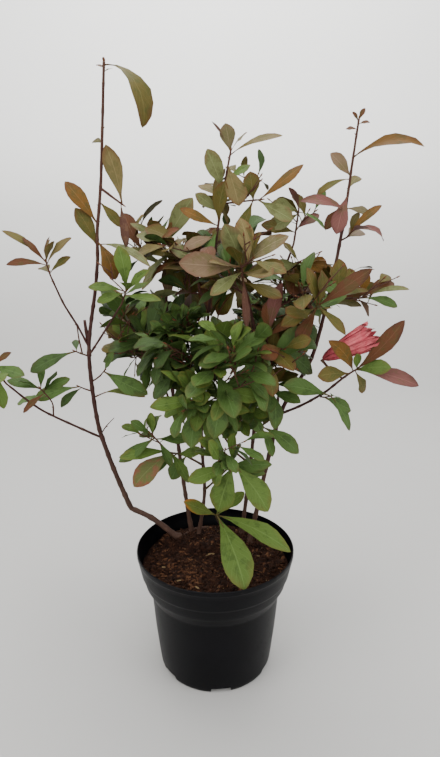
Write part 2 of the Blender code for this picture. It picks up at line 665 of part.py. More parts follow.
# ---- the plant: sprays ----
def lay_sprays(limbs, space, mats):
    """Every mass of leaves, with what it shows one by one and what it grows by the rule."""
    green, bronze, beige = mats["leaf_green"], mats["leaf_bronze"], mats["leaf_beige"]
    sprays = []

    def spray(name, parent, height, points, radius, mat, **rest):
        limb = Limb(name, points, radius, radius * 0.72, SPRAY_SIDES, (limbs[parent], height), step=20.0)
        solid = outward(limb.verts, limb.faces)
        where = space.touched(*solid, ignore=(parent,) if height is None else ())
        if where:
            print("stem of", name, "touches", where)
        space.add(name, *solid)
        sprays.append(Spray(name, limb, mat, **rest))

    spray("spray_left_tip", "stem_left_upper", None, [(-126, 15, 530), (-119, 10, 575), (-108, 1, 688)], 1.9,
          bronze, seed=11, leaves=[
              leaf(0.995, -58, 5, 84, 27, 118, 34), leaf(0.995, 95, 0, 7, 4, 10),
              leaf(0.97, 150, -40, 13, 5), leaf(0.95, 40, -50, 15, 5),
              leaf(0.21, 125, 8, 54, 19, 25, 62), leaf(0.09, 116, 10, 46, 18, 20, 60),
              leaf(0.12, -64, 14, 48, 22, 50, 55), leaf(0.33, -52, -10, 34, 14, 20, 55),
              leaf(0.1, -20, 22, 72, 13, 50, 40), leaf(0.62, 160, -55, 24, 9)],
          twigs=[twig(0.4, -36, 6, 29, [leaf(0.96, 103, 4, 60, 19, -15, 78),
                                         leaf(0.9, -84, 6, 47, 10, 10, 60)])])
    spray("spray_left_middle", "bough_left_middle", None, [(-182, 8, 494)], 1.0, bronze, seed=12, size=34,
          fill=2, leaves=[leaf(0.98, 142, 5, 56, 10, 45, 45), leaf(0.8, 178, 12, 44, 10, 55, 45),
                          leaf(0.9, 128, 10, 36, 9), leaf(0.85, 43, 10, 44, 13, 45, 45),
                          leaf(0.3, 36, 5, 32, 10, 50, 45), leaf(0.95, 84, -20, 30, 11)])
    spray("spray_left_inner", "bough_left_inner", None, [(-94, -10, 466)], 1.0, green, seed=13, size=34,
          fill=3, leaves=[leaf(0.95, 96, 5, 48, 18, 20, 65), leaf(0.8, 43, 10, 38, 15), leaf(0.85, 197, 15, 32, 13),
                          leaf(0.9, 172, 5, 40, 13), leaf(0.7, -6, 15, 42, 13)])
    spray("spray_left_low", "bough_left_low", 312, [(-192, 22, 331), (-203, 18, 349)], 1.0, green, seed=14,
          size=38, fill=3, leaves=[leaf(0.95, 160, 12, 40, 15), leaf(0.8, 222, 20, 33, 13),
                                   leaf(0.9, 25, 10, 40, 14), leaf(0.98, 95, -30, 32, 12)])
    spray("spray_left_far", "bough_left_low", None, [(-248, -8, 384)], 1.0, green, seed=15, size=36, fill=2,
          leaves=[leaf(0.95, -12, 15, 43, 16), leaf(0.75, -74, 20, 45, 16), leaf(0.9, 35, 5, 30, 9),
                  leaf(0.97, 150, 50, 44, 16), leaf(0.85, 185, -50, 44, 16), leaf(0.98, 105, -15, 34, 13)])
    spray("spur_left_high", "stem_left_upper", 383, [(-157, 33, 387), (-163, 29, 391)], 1.0, green, seed=16,
          leaves=[leaf(0.9, 203, 12, 58, 19, 45, 50), leaf(0.8, 120, -60, 24, 9)],
          twigs=[twig(0.3, 98, -3, 32, [])])
    spray("spur_left_low", "stem_left_upper", 338, [(-157, 40, 342), (-163, 37, 346)], 1.0, green, seed=17,
          leaves=[leaf(0.9, 194, 6, 56, 18, 30, 45), leaf(0.7, 222, 25, 34, 13)])
    spray("spur_left_inner", "stem_left_upper", 350, [(-138, 37, 358), (-130, 32, 367)], 1.0, green, seed=18,
          leaves=[leaf(0.9, -25, 12, 60, 22, 25, 60), leaf(0.95, 60, 20, 32, 12)])
    spray("spur_left_drop", "stem_left_upper", 330, [(-138, 41, 335), (-134, 39, 337)], 0.9, green, seed=47,
          leaves=[leaf(0.9, -2, 10, 56, 12, 62, 40)])
    spray("spray_low_left", "stem_centre", 240, [(-38, 22, 264), (-55, -4, 280), (-74, -6, 303)], 1.4, green,
          seed=19, size=34, leaves=[
              leaf(0.97, 143, 5, 30, 12), leaf(0.95, 90, 8, 30, 12), leaf(0.9, 5, 10, 43, 15),
              leaf(0.92, 212, 12, 50, 18), leaf(0.85, -62, 18, 32, 13), leaf(0.66, 178, 22, 60, 17, 20, 40),
              leaf(0.62, 221, 12, 60, 25, 20, 68), leaf(0.5, 208, 6, 48, 15, 20, 60),
              leaf(0.3, 236, 12, 34, 19, 20, 65), leaf(0.64, -57, 20, 42, 16),
              leaf(0.5, 20, 25, 36, 14)])
    spray("spray_low_centre", "stem_low_front", None, [(1, -8, 198), (2, -22, 208)], 1.3, green, seed=20,
          size=40, leaves=[
              leaf(0.97, -62, 42, 90, 37, 22, 60), leaf(0.9, -24, 10, 97, 26, 35, 40), leaf(0.95, 72, 8, 54, 19),
              leaf(0.85, 148, 14, 46, 17), leaf(0.7, 35, -20, 44, 16)])
    spray("spray_low_right", "stem_centre", 205, [(-2, 28, 226), (12, -10, 258), (21, -46, 283)], 1.4, green,
          seed=21, size=40, fill=2, leaves=[
              leaf(0.96, 88, 10, 40, 15), leaf(0.9, 197, 10, 52, 19), leaf(0.97, -52, 16, 64, 28, 20, 65),
              leaf(0.88, 6, 10, 46, 15), leaf(0.96, -107, 5, 58, 30, 20, 64), leaf(0.99, 140, 20, 28, 11)])
    spray("spray_mid_centre", "bough_mid_front", None, [(-12, -20, 342), (-17, -38, 354)], 1.0, green, seed=22,
          size=42, fill=4, leaves=[
              leaf(0.97, 186, 12, 54, 18), leaf(0.95, -10, 12, 56, 18), leaf(0.85, 236, 18, 26, 11),
              leaf(0.8, -76, 18, 46, 17), leaf(0.98, 120, 20, 42, 15)])
    spray("spray_mid_right", "stem_front", 296, [(40, 18, 318), (34, -8, 336)], 1.1, green, seed=23, size=36,
          fill=4, leaves=[leaf(0.96, 225, 15, 34, 13), leaf(0.9, -58, 15, 36, 15), leaf(0.85, 20, 12, 38, 14),
                          leaf(0.97, 150, 12, 32, 13)])
    spray("spur_centre_right", "stem_front", 282, [(53, 38, 292), (57, 28, 298)], 1.0, green, seed=24,
          leaves=[leaf(0.95, -34, 14, 54, 20, 25, 55), leaf(0.8, -68, 20, 38, 15), leaf(0.97, 70, 20, 30, 12)])
    spray("spray_back_left_top", "stem_back_left", None, [(-59, 70, 485), (-60, 69, 508)], 1.7, green, seed=25,
          size=48, fill=1, grow=(1, 2), from_share=0.5, leaves=[
              leaf(0.97, 58, 5, 66, 25, 25, 60), leaf(0.9, 142, 5, 50, 13, 35, 45),
              leaf(0.4, 152, 12, 50, 13, 35, 45), leaf(0.8, -86, 14, 50, 18, 20, 60),
              leaf(0.95, 70, 22, 34, 13, 20, 55), leaf(0.5, 227, 12, 42, 15)])
    spray("spray_mid_left", "stem_back_left", 360, [(-76, 60, 382), (-92, 50, 402)], 1.2, green, seed=26,
          size=50, fill=7, grow=(3, 4), from_share=0.4)
    spray("spray_tuft", "stem_centre", 378, [(-26, 22, 400), (-40, 12, 422)], 1.1, green, seed=27, size=28,
          fill=8, grow=(4, 5), from_share=0.3)
    spray("spray_mid_dark", "stem_centre", 345, [(-20, 16, 368), (-27, 0, 386)], 1.1, green, seed=28, size=48,
          fill=6, grow=(3, 3), from_share=0.35)
    spray("spray_mid_front", "stem_centre", 320, [(-4, 10, 346), (0, -30, 378), (1, -46, 392)], 1.2, green,
          seed=29, size=50, fill=6, grow=(3, 3), from_share=0.5)
    spray("spray_centre_top", "stem_centre", None, [(8, 23, 560), (17, 20, 608)], 1.5, beige, seed=30,
          size=36, fill=1, leaves=[
              leaf(0.98, 101, 4, 29, 17, 20, 70), leaf(0.95, 19, 5, 60, 12, 50, 40),
              leaf(0.985, 124, 6, 36, 5, 20, 40), leaf(0.6, 114, 10, 44, 20, 15, 70),
              leaf(0.84, -74, 14, 44, 25, 20, 75), leaf(0.7, 30, -15, 32, 11, 20, 60),
              leaf(0.2, 156, 12, 46, 13, 25, 55), leaf(0.34, 143, 8, 34, 14, 25, 60),
              leaf(0.24, 80, 20, 46, 18, 15, 72), leaf(0.18, -28, 15, 40, 16),
              leaf(0.16, 246, 14, 36, 15), leaf(0.08, 200, 12, 40, 16, 20, 60)],
          twigs=[twig(0.44, 6, 2, 43, [leaf(0.96, 38, 5, 58, 15, 25, 45), leaf(0.8, 98, 10, 30, 20, 15, 70),
                                       leaf(0.92, -30, 14, 44, 20, 20, 62), leaf(0.8, -108, 10, 48, 18, 20, 62)]),
                 twig(0.35, 70, -60, 30, [leaf(0.96, 60, -50, 42, 16), leaf(0.9, 150, -30, 40, 15),
                                          leaf(0.85, 10, -50, 40, 15)])])
    spray("spray_front_top", "stem_front", None, [(30, -26, 476), (27, -34, 494)], 1.5, beige, seed=31,
          size=46, fill=5, grow=(2, 3), from_share=0.2, leaves=[
              leaf(0.97, 176, 10, 64, 26, 20, 62), leaf(0.95, 34, 8, 57, 18, 30, 50),
              leaf(0.9, 112, 12, 50, 22, 20, 68), leaf(0.72, -86, 18, 56, 12, 15, 50),
              leaf(0.85, 215, 20, 42, 18, 20, 55), leaf(0.6, -20, 20, 44, 18),
              leaf(0.8, 14, 12, 44, 19, 20, 55)])
    spray("spray_right_centre", "bough_right_centre", None, [(94, 49, 548)], 1.2, green, seed=32, size=40,
          fill=1, leaves=[
              leaf(0.96, -34, 6, 40, 9, 65, 40), leaf(0.97, 168, 8, 34, 19, 15, 65),
              leaf(0.9, 205, 10, 38, 20, 20, 62), leaf(0.4, 168, 12, 42, 17),
              leaf(0.5, 30, -20, 34, 13)])
    spray("spray_right_inner_top", "bough_right_centre", 478, [(88, 26, 487), (93, 18, 493)], 1.0, bronze,
          seed=33, size=36, fill=3, leaves=[
              leaf(0.95, -6, 12, 32, 18, 50, 58), leaf(0.9, 188, 15, 30, 17, 20, 62),
              leaf(0.97, 130, -15, 30, 12)])
    spray("spray_right_low", "bough_right_low", None, [(108, -26, 452)], 1.0, bronze, seed=34, size=44, fill=4, grow=(1, 3),
          leaves=[
              leaf(0.95, -45, 14, 42, 17), leaf(0.9, 242, 14, 46, 17, 20, 60),
              leaf(0.97, 37, 8, 66, 17, 20, 52), leaf(0.85, 205, 14, 44, 17), leaf(0.97, 110, 12, 44, 17)])
    spray("spray_right_middle", "stem_right", 440, [(133, 14, 450), (136, 8, 456)], 1.1, bronze, seed=35,
          size=40, fill=2, leaves=[
              leaf(0.95, 94, 10, 44, 20, 20, 65), leaf(0.8, 20, 12, 34, 12, 25, 50)],
          twigs=[twig(0.9, 2, 4, 30, [leaf(0.96, 11, 2, 52, 9, 72, 35), leaf(0.9, -14, 10, 40, 13, 60, 45),
                                      leaf(0.8, 74, 8, 28, 12), leaf(0.7, -50, -30, 34, 13)])])
    spray("spray_right_upper", "stem_right", 516, [(143, 15, 520), (146, 12, 525)], 1.0, bronze, seed=36,
          size=38, fill=2, leaves=[
              leaf(0.95, -14, 6, 44, 16, 130, 35), leaf(0.3, 45, 12, 50, 11, 55, 40),
              leaf(0.9, 66, -20, 26, 10)])
    spray("spray_right_tip", "stem_right", None, [(143, 13, 590), (147, 10, 637)], 1.6, bronze, seed=37,
          size=36, leaves=[
              leaf(0.62, 8, 6, 78, 18, 84, 52), leaf(0.985, 65, 10, 13, 6),
              leaf(0.97, 125, 0, 12, 6), leaf(0.95, 10, -10, 13, 6),
              leaf(0.9, 175, -20, 12, 6), leaf(0.43, 136, 8, 33, 17, 30, 62),
              leaf(0.4, 205, 4, 42, 9, 75, 40), leaf(0.25, 254, 12, 44, 18, 15, 62),
              leaf(0.06, 168, 14, 58, 14, 75, 50), leaf(0.3, 40, -50, 34, 13),
              leaf(0.1, -10, -40, 38, 14), leaf(0.14, 232, -10, 34, 14)])
    spray("spray_bloom", "bough_bloom", None, [(146, -25, 379), (152, -28, 384)], 1.3, beige, seed=38,
          size=36, leaves=[
              leaf(0.97, 54, 16, 74, 18, 30, 62), leaf(0.96, -12, 14, 68, 18, 35, 62),
              leaf(0.9, 14, 30, 40, 17, 35, 60), leaf(0.8, 130, 34, 66, 16, 20, 60),
              leaf(0.6, 178, 22, 40, 18, 25, 60), leaf(0.9, -60, -30, 40, 15),
              leaf(0.98, 100, 30, 24, 11, 30, 60)])
    spray("spray_right_skirt", "bough_bloom", 346, [(120, -20, 350), (126, -28, 354)], 1.0, green, seed=39,
          size=38, fill=2, leaves=[
              leaf(0.95, 164, 10, 56, 21), leaf(0.97, -60, 8, 46, 15, 60, 50)])
    spray("spray_right_inner", "stem_right", 328, [(70, 28, 350), (57, 24, 374)], 1.2, green, seed=40, size=46,
          fill=6, grow=(2, 3), leaves=[leaf(0.97, 120, 16, 44, 17), leaf(0.95, -18, 16, 44, 17),
                                       leaf(0.9, 202, 14, 40, 16)])
    spray("spray_mid_upper", "stem_front", 372, [(54, 4, 392), (58, -16, 420)], 1.1, green, seed=41, size=48,
          fill=5, grow=(3, 3), from_share=0.4, leaves=[leaf(0.95, 78, 10, 60, 17, 20, 60)])
    spray("spray_right_deep", "bough_right_centre", 440, [(80, 34, 446), (88, 44, 452)], 1.0, green, seed=42,
          size=46, fill=6, grow=(2, 3))
    spray("spray_upper_deep", "stem_centre", 436, [(-18, 42, 462), (-24, 50, 496)], 1.1, beige, seed=43,
          size=48, fill=7, grow=(4, 3), from_share=0.3)
    spray("spray_back_left", "bough_back_left", None, [(-81, 136, 392)], 1.1, green, seed=44, size=50, fill=5,
          grow=(3, 3), from_share=0.3)
    spray("spray_back_centre", "bough_back_centre", None, [(-9, 120, 464)], 1.0, green, seed=45, size=48,
          fill=5, grow=(3, 3), from_share=0.3)
    spray("spray_back_right", "bough_back_right", None, [(72, 127, 396)], 1.1, green, seed=46, size=50, fill=5,
          grow=(3, 3), from_share=0.3)
    return sprays


def build():
    clear_scene()
    parts = collection("potted_azalea")
    cutters = collection("potted_azalea_cutters", hidden=True)
    mats = {
        "pot_plastic": material("pot_plastic", (0.012, 0.012, 0.013), 0.38),
        "soil": material("soil", (0.028, 0.016, 0.010), 0.95),
        "bark": material("bark", (0.105, 0.046, 0.036), 0.7),
        "leaf_green": material("leaf_green", (0.085, 0.115, 0.032), 0.5),
        "leaf_bronze": material("leaf_bronze", (0.135, 0.085, 0.028), 0.5),
        "leaf_beige": material("leaf_beige", (0.19, 0.135, 0.085), 0.55),
    }
    space = Space()
    for obj in (build_pot(parts, cutters, mats["pot_plastic"]), build_soil(parts, mats["soil"])):
        verts = [v.co / MM for v in obj.data.vertices]
        space.add(obj.name, verts, [tuple(p.vertices) for p in obj.data.polygons])
    limbs = lay_limbs(space)
    sprays = lay_sprays(limbs, space, mats)
    for spray in sprays:
        if spray.name == "spray_bloom":
            stalk = (spray.limb.along(0.2)[0], Vector((127.0, -20.0, 380.0)), Vector((115.5, -17.5, 392.0)))
            heads = tangents(stalk)
            solid = outward(*tube_shape(list(stalk), heads, [1.1, 1.0, 1.6], 4))
            flower = bloom_shape(Vector((117.0, -18.0, 393.0)), Vector((170.0, -34.0, 424.0)), 17.0, 7)
            for verts, faces in (solid, flower):
                where = space.touched(verts, faces, ignore=(spray.name,))
                if where:
                    print("bloom touches", where)
                space.add(spray.name, verts, faces)
                spray.pieces.append((verts, faces))
    for spray in sprays:
        spray.place_given(space)
    for spray in sprays:
        spray.place_grown(space)
    for name, limb in limbs.items():
        obj = new_object(name, *outward(limb.verts, limb.faces), parts, mats["bark"], smooth=True)
        obj.data.name = name
    total = 0
    for spray in sprays:
        obj = fuse(spray, parts)
        obj.data.calc_loop_triangles()
        total += len(obj.data.loop_triangles)
        print(spray.name, "pieces", len(spray.pieces), "triangles", len(obj.data.loop_triangles))
    print("pot and soil", [len(parts.objects[n].data.polygons) for n in ("pot", "soil")])
    print("leaves and twigs", sum(len(s.pieces) for s in sprays), "spray triangles", total)
    everything = 0
    for obj in parts.objects:
        obj.data.calc_loop_triangles()
        everything += len(obj.data.loop_triangles)
    print("nodes", len(parts.objects), "triangles in all", everything)


build()
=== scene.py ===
import math
import random

import bmesh
import bpy
import numpy as np
from mathutils import Matrix, Vector, noise
from mathutils.bvhtree import BVHTree


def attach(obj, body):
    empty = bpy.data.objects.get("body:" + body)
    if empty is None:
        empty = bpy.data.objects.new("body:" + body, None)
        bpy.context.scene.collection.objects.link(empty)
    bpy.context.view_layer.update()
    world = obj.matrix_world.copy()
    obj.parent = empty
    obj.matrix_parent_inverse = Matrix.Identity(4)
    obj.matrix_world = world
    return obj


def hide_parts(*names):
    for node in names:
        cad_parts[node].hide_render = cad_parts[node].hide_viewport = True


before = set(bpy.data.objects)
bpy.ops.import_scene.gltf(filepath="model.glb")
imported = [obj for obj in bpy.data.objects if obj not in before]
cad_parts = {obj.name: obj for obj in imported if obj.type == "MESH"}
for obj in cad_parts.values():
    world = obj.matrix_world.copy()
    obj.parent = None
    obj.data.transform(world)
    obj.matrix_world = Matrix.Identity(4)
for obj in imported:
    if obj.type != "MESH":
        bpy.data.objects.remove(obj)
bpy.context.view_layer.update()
mm = 0.001
print("frame loaded,", len(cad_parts), "nodes")


# shader graphs: an expression on wires adds its Math nodes
class Wire:
    def __init__(self, graph, socket):
        self.graph, self.socket = graph, socket

    def join(self, operation, other, swapped=False):
        first, second = (other, self) if swapped else (self, other)
        return self.graph.node("ShaderNodeMath", {"operation": operation}, {0: first, 1: second})

    def __add__(self, other):
        return self.join("ADD", other)

    def __radd__(self, other):
        return self.join("ADD", other, True)

    def __sub__(self, other):
        return self.join("SUBTRACT", other)

    def __rsub__(self, other):
        return self.join("SUBTRACT", other, True)

    def __mul__(self, other):
        return self.join("MULTIPLY", other)

    def __rmul__(self, other):
        return self.join("MULTIPLY", other, True)

    def __abs__(self):
        return self.join("ABSOLUTE", 0.0)

    def sine(self):
        return self.join("SINE", 0.0)

    def ramp(self, low, high):  # 0 below low, 1 above high, eased between
        return self.graph.node("ShaderNodeMapRange", {"interpolation_type": "SMOOTHSTEP"},
                               {0: self, 1: low, 2: high, 3: 0.0, 4: 1.0})


class Graph:
    def __init__(self, name):
        self.material = bpy.data.materials.new(name)
        self.material.use_nodes = True
        self.tree = self.material.node_tree
        self.tree.nodes.clear()

    def node(self, kind, settings=None, values=None, out=0):
        made = self.tree.nodes.new(kind)
        for key, value in (settings or {}).items():
            setattr(made, key, value)
        for key, value in (values or {}).items():
            socket = made.inputs[key]
            if isinstance(value, Wire):
                self.tree.links.new(value.socket, socket)
            else:
                socket.default_value = value
        return Wire(self, made.outputs[out]) if len(made.outputs) else None

    def place(self):
        return self.node("ShaderNodeTexCoord", out="Object")

    def height(self, where):
        return self.node("ShaderNodeSeparateXYZ", {}, {0: where}, 2)

    def bladeShares(self):  # shares across and along a leaf or petal
        across = self.node("ShaderNodeSeparateXYZ", {}, {0: self.node("ShaderNodeUVMap", {"uv_map": "bladeMap"})})
        return across, Wire(self, across.socket.node.outputs[1])

    def grain(self, where, scale, detail=3.0, rough=0.55, distortion=0.0):
        return self.node("ShaderNodeTexNoise", {}, {"Vector": where, "Scale": scale, "Detail": detail,
                                                    "Roughness": rough, "Distortion": distortion})

    def stretched(self, where, scale):
        return self.node("ShaderNodeMapping", {}, {0: where, 3: scale})

    def blend(self, share, first, second, way="MIX"):
        return self.node("ShaderNodeMix", {"data_type": "RGBA", "blend_type": way},
                         {0: share, 6: first, 7: second}, 2)

    def bump(self, height, distance, strength=1.0):
        return self.node("ShaderNodeBump", {}, {"Height": height, "Distance": distance, "Strength": strength})

    def finish(self, **values):
        names = {"color": "Base Color", "rough": "Roughness", "normal": "Normal", "specular": "Specular IOR Level"}
        shader = self.node("ShaderNodeBsdfPrincipled", {}, {names[k]: v for k, v in values.items()})
        self.node("ShaderNodeOutputMaterial", {}, {"Surface": shader})
        return self.material


def tint(red, green, blue):  # screen colour, 0 to 255, as a linear one
    return tuple(((c / 255 + 0.055) / 1.055) ** 2.4 if c > 10 else c / 255 / 12.92
                 for c in (red, green, blue)) + (1.0,)


# the growth rule: limbs, sprays and leaves in millimetres
gap = 0.3
ground = dict(top=133.5, rise=5.5, centre=(-4.0, 46.0), half=(58.0, 22.0))
limbStyle = dict(stemSides=7, boughSides=6, spraySides=5, step=19.0, shortStep=11.0, sprayStep=20.0, sprayTaper=0.72,
                 footFlare=1.45, flareHeight=16.0, flareRun=5.0, rootDepth=6.0, straight=4.0, sink=1.0,
                 leastSlope=0.35, sideClear=0.12, ringRoom=0.6, ringRun=0.9)
leafStyle = dict(thick=0.017, width=0.40, grownWidth=0.45, golden=137.5, clear=0.7, foot=0.25, fold=0.22,
                 bentFrom=30.0, archedFrom=60.0, flat=((0.58, 1.0),), bent=((0.36, 0.72), (0.7, 0.96)),
                 arched=((0.24, 0.5), (0.52, 0.98), (0.8, 0.8)), lastLeaf=0.985, lastTwig=0.97, lastOnTwig=0.96,
                 nudges=((0, 0), (0, 12), (0, -12), (8, 0), (-8, 0), (0, 25), (0, -25), (12, 14), (-12, -14)))
twigStyle = dict(startRoom=3.0, startFree=4.0, endFree=5.0, rootSize=1.15, tipSize=0.85, thinnest=0.9, shown=0.75,
                 grown=0.7)
growStyle = dict(twigTries=6, twigTurn=20, twigTilt=(45, 70), twigLength=(0.5, 0.75), lastTwig=0.93, retry=0.7,
                 tipRun=12.0, twigRun=9.0, leafTries=9, leafRetry=41.0, tilt=(38, 85), tiltSpread=8,
                 firstSize=0.78, sizeGain=0.3, sizeSpread=(0.85, 1.15), lowest=0.3, highest=0.985, lift=0.6,
                 bend=(8, 32))
fineStyle = dict(rise=0.35, twig=(0.4, 0.95), leaf=(0.75, 1.2), bend=(15, 70), radius=0.6, clear=0.25,
                 twigTries=12, base=(0.25, 0.98), twigTurn=25, twigTilt=(30, 85), twigRoom=12.0, leafTries=8,
                 retryTurn=53.0, run=(2.0, 12.0), tilt=(35, 45), tiltSpread=14, width=(0.36, 0.46), depthAt=0.6,
                 faceSide=(-0.5, 0.5), faceFront=(-0.7, 0.3), lift=0.7, along=0.6, reach=2.0)
coverStyle = dict(shares=(0.35, 0.5, 0.65, 0.8, 0.95), spots=14, past=1.7, longest=62.0, turns=(0, -25, 20), bend=20)


def smoothPath(points, step):  # Catmull-Rom curve with a point about every step
    pts = [Vector(p) for p in points]
    pts = [2 * pts[0] - pts[1]] + pts + [2 * pts[-1] - pts[-2]]
    path = []
    for i in range(1, len(pts) - 2):
        a, b, c, d = pts[i - 1:i + 3]
        count = max(1, round((c - b).length / step))
        for k in range(count):
            t = k / count
            path.append(0.5 * (2 * b + (c - a) * t + (2 * a - 5 * b + 4 * c - d) * t * t
                               + (3 * b - a - 3 * c + d) * t ** 3))
    path.append(pts[-2])
    return path


def tangents(path):
    last = len(path) - 1
    return [(path[min(last, i + 1)] - path[max(0, i - 1)]).normalized() for i in range(last + 1)]


def runLength(path):
    return sum((b - a).length for a, b in zip(path, path[1:]))


def pointAlong(path, share):
    goal, run = share * runLength(path), 0.0
    for a, b in zip(path, path[1:]):
        span = (b - a).length
        if run + span >= goal:
            return a.lerp(b, (goal - run) / span)
        run += span
    return path[-1]


def outwards(axis, angle, tilt):  # a direction at a tilt from an axis, turned round it
    side = axis.cross(Vector((0.2, 1.0, 0.1))).normalized()
    other = axis.cross(side)
    turn, lean = math.radians(angle), math.radians(tilt)
    return (axis * math.cos(lean) + (side * math.cos(turn) + other * math.sin(turn)) * math.sin(lean)).normalized()


def tubeSolid(path, heads, radii, sides, firstRing=None):  # rings carried along a path, for touch tests
    side = heads[0].cross(Vector((0.3, 1.0, 0.2))).normalized()
    verts = []
    for i, (point, head, radius) in enumerate(zip(path, heads, radii)):
        side = (side - head * side.dot(head)).normalized()
        other = head.cross(side)
        ring = [point + radius * (math.cos(a) * side + math.sin(a) * other)
                for a in (math.tau * k / sides for k in range(sides))]
        verts += [firstRing(v, head) for v in ring] if i == 0 and firstRing else ring
    count = len(path)
    faces = [tuple(range(sides)), tuple((count - 1) * sides + k for k in range(sides))]
    for i in range(count - 1):
        for k in range(sides):
            n = (k + 1) % sides
            faces.append((i * sides + k, i * sides + n, (i + 1) * sides + n, (i + 1) * sides + k))
    return verts, faces


class Limb:
    def __init__(self, name, points, radius, endRadius, sides, parent=None, flare=False, step=None):
        self.name = name
        step = step or limbStyle["step"]
        firstRing = None
        if parent and parent[1] is None:  # goes on from the parent's tip
            limb = parent[0]
            start = limb.path[-1] + limb.heads[-1] * gap
            radius = min(radius, limb.radii[-1])
            path = smoothPath([start, start + limb.heads[-1] * limbStyle["straight"]] + list(points), step)
            heads = tangents(path)
            heads[0] = limb.heads[-1]
            self.root = limb.path[-1] - limb.heads[-1] * limbStyle["sink"]
        elif parent:  # leaves the parent's side
            limb, height = parent
            origin, axis, thick = limb.station(height)
            path = smoothPath([origin] + list(points), step)
            head = (path[1] - path[0]).normalized()
            out = (head - axis * head.dot(axis)).normalized()
            slope = max(limbStyle["leastSlope"], head.dot(out))
            reach = thick + gap + limbStyle["sideClear"]
            needed = (reach + radius * math.sqrt(1 - slope * slope) + limbStyle["ringRoom"]) / slope
            path = [p for p in path if (p - origin).length > needed + 1.0]
            base = origin + head * needed
            path = [base, base + head * limbStyle["ringRun"]] + path
            heads = tangents(path)
            heads[0] = heads[1] = head
            self.root = origin

            def firstRing(v, direction):
                lack = reach - (v - origin).dot(out)
                return v + direction * (lack / direction.dot(out))
        else:  # stands on the soil
            path = smoothPath(points, step)
            heads = tangents(path)
            heads[0] = Vector((0.0, 0.0, 1.0))
            if flare:
                head = (path[1] - path[0]).normalized()
                head = (head + Vector((0, 0, 1))).normalized()
                path.insert(1, path[0] + head * limbStyle["flareRun"])
                heads.insert(1, head)
            self.root = path[0] - Vector((0, 0, limbStyle["rootDepth"]))
        self.path, self.heads = path, heads
        total = runLength(path)
        run = 0.0
        self.radii = []
        for i, point in enumerate(path):
            if i:
                run += (point - path[i - 1]).length
            size = radius + (endRadius - radius) * run / total
            if flare:
                lift = max(0.0, 1.0 - run / limbStyle["flareHeight"])
                size *= 1.0 + (limbStyle["footFlare"] - 1.0) * lift ** 2
            self.radii.append(size)
        self.solid = tubeSolid(path, heads, self.radii, sides, firstRing)

    def station(self, height):
        for i in range(len(self.path) - 1):
            low, high = self.path[i].z, self.path[i + 1].z
            if low <= height <= high:
                return self.between(i, (height - low) / max(1e-6, high - low))
        raise ValueError("%s does not pass height %s" % (self.name, height))

    def along(self, share):
        goal, run = share * runLength(self.path), 0.0
        for i in range(len(self.path) - 1):
            span = (self.path[i + 1] - self.path[i]).length
            if run + span >= goal or i == len(self.path) - 2:
                return self.between(i, min(1.0, (goal - run) / span))
            run += span

    def between(self, i, t):  # point, direction and radius
        return (self.path[i].lerp(self.path[i + 1], t), (self.path[i + 1] - self.path[i]).normalized(),
                self.radii[i] + (self.radii[i + 1] - self.radii[i]) * t)


def leafSolid(base, head, normal, length, width, bend, extra=0.0):
    side = head.cross(normal).normalized()
    beta = max(0.02, math.radians(bend)) if bend >= 0 else min(-0.02, math.radians(bend))
    thick = length * leafStyle["thick"] / 2 + extra
    shape = "arched" if abs(bend) >= leafStyle["archedFrom"] else "bent"
    if abs(bend) < leafStyle["bentFrom"]:
        shape = "flat"
    fold, verts = leafStyle["fold"], []
    for t, share in leafStyle[shape]:
        turn = beta * (0.5 - t)
        centre = base + (length / beta) * ((math.sin(beta / 2) - math.sin(turn)) * head
                                           + (math.cos(turn) - math.cos(beta / 2)) * normal)
        local = math.cos(turn) * normal - math.sin(turn) * head
        half = width / 2 * share + extra
        verts += [centre + side * half + local * half * fold, centre + local * thick,
                  centre - side * half + local * half * fold, centre - local * thick]
    last = len(verts) - 4
    root, tip = last + 4, last + 5
    verts += [base, base + (length / beta) * 2 * math.sin(beta / 2) * head]
    faces = []
    for i in range(0, last, 4):
        for k in range(4):
            n = (k + 1) % 4
            faces += [(i + k, i + 4 + k, i + 4 + n), (i + k, i + 4 + n, i + n)]
    for k in range(4):
        n = (k + 1) % 4
        faces += [(root, k, n), (last + k, tip, last + n)]
    return verts, faces


def aim(clock, lean, turn):  # clock: 0 right, 90 up; lean: to the front; turn: face from the sky to the front
    phi, tilt, psi = math.radians(clock), math.radians(lean), math.radians(turn)
    head = Vector((math.cos(phi) * math.cos(tilt), -math.sin(tilt), math.sin(phi) * math.cos(tilt)))
    sign = 1.0 if math.cos(phi) >= 0 else -1.0
    upper = Vector((-math.sin(phi) * sign, 0.0, math.cos(phi) * sign))
    upper = (upper - head * upper.dot(head)).normalized()
    front = Vector((0.0, -1.0, 0.0)) + head * math.sin(-tilt)
    front = front - head * front.dot(head)
    front = front.normalized() if front.length > 0.3 else upper
    return head, (math.cos(psi) * upper + math.sin(psi) * front).normalized()


def reachOf(verts):
    return ([min(v[k] for v in verts) for k in range(3)], [max(v[k] for v in verts) for k in range(3)])


class Space:  # every solid laid so far, with its owner
    def __init__(self):
        self.items = []

    def add(self, owner, verts, faces):
        self.items.append((owner, BVHTree.FromPolygons(verts, faces), reachOf(verts)))

    def touched(self, verts, faces, ignore=()):
        tree, (low, high) = None, reachOf(verts)
        for owner, other, (a, b) in self.items:
            if owner in ignore or high[0] < a[0] or low[0] > b[0] or high[1] < a[1] or low[1] > b[1] \
                    or high[2] < a[2] or low[2] > b[2]:
                continue
            tree = tree or BVHTree.FromPolygons(verts, faces)
            if tree.overlap(other):
                return owner
        return None


def leaf(at, clock, lean, length, width=None, bend=25, turn=45, tint=None):
    return dict(at=at, clock=clock, lean=lean, length=length, width=width or length * leafStyle["width"],
                bend=bend, turn=turn, tint=tint)


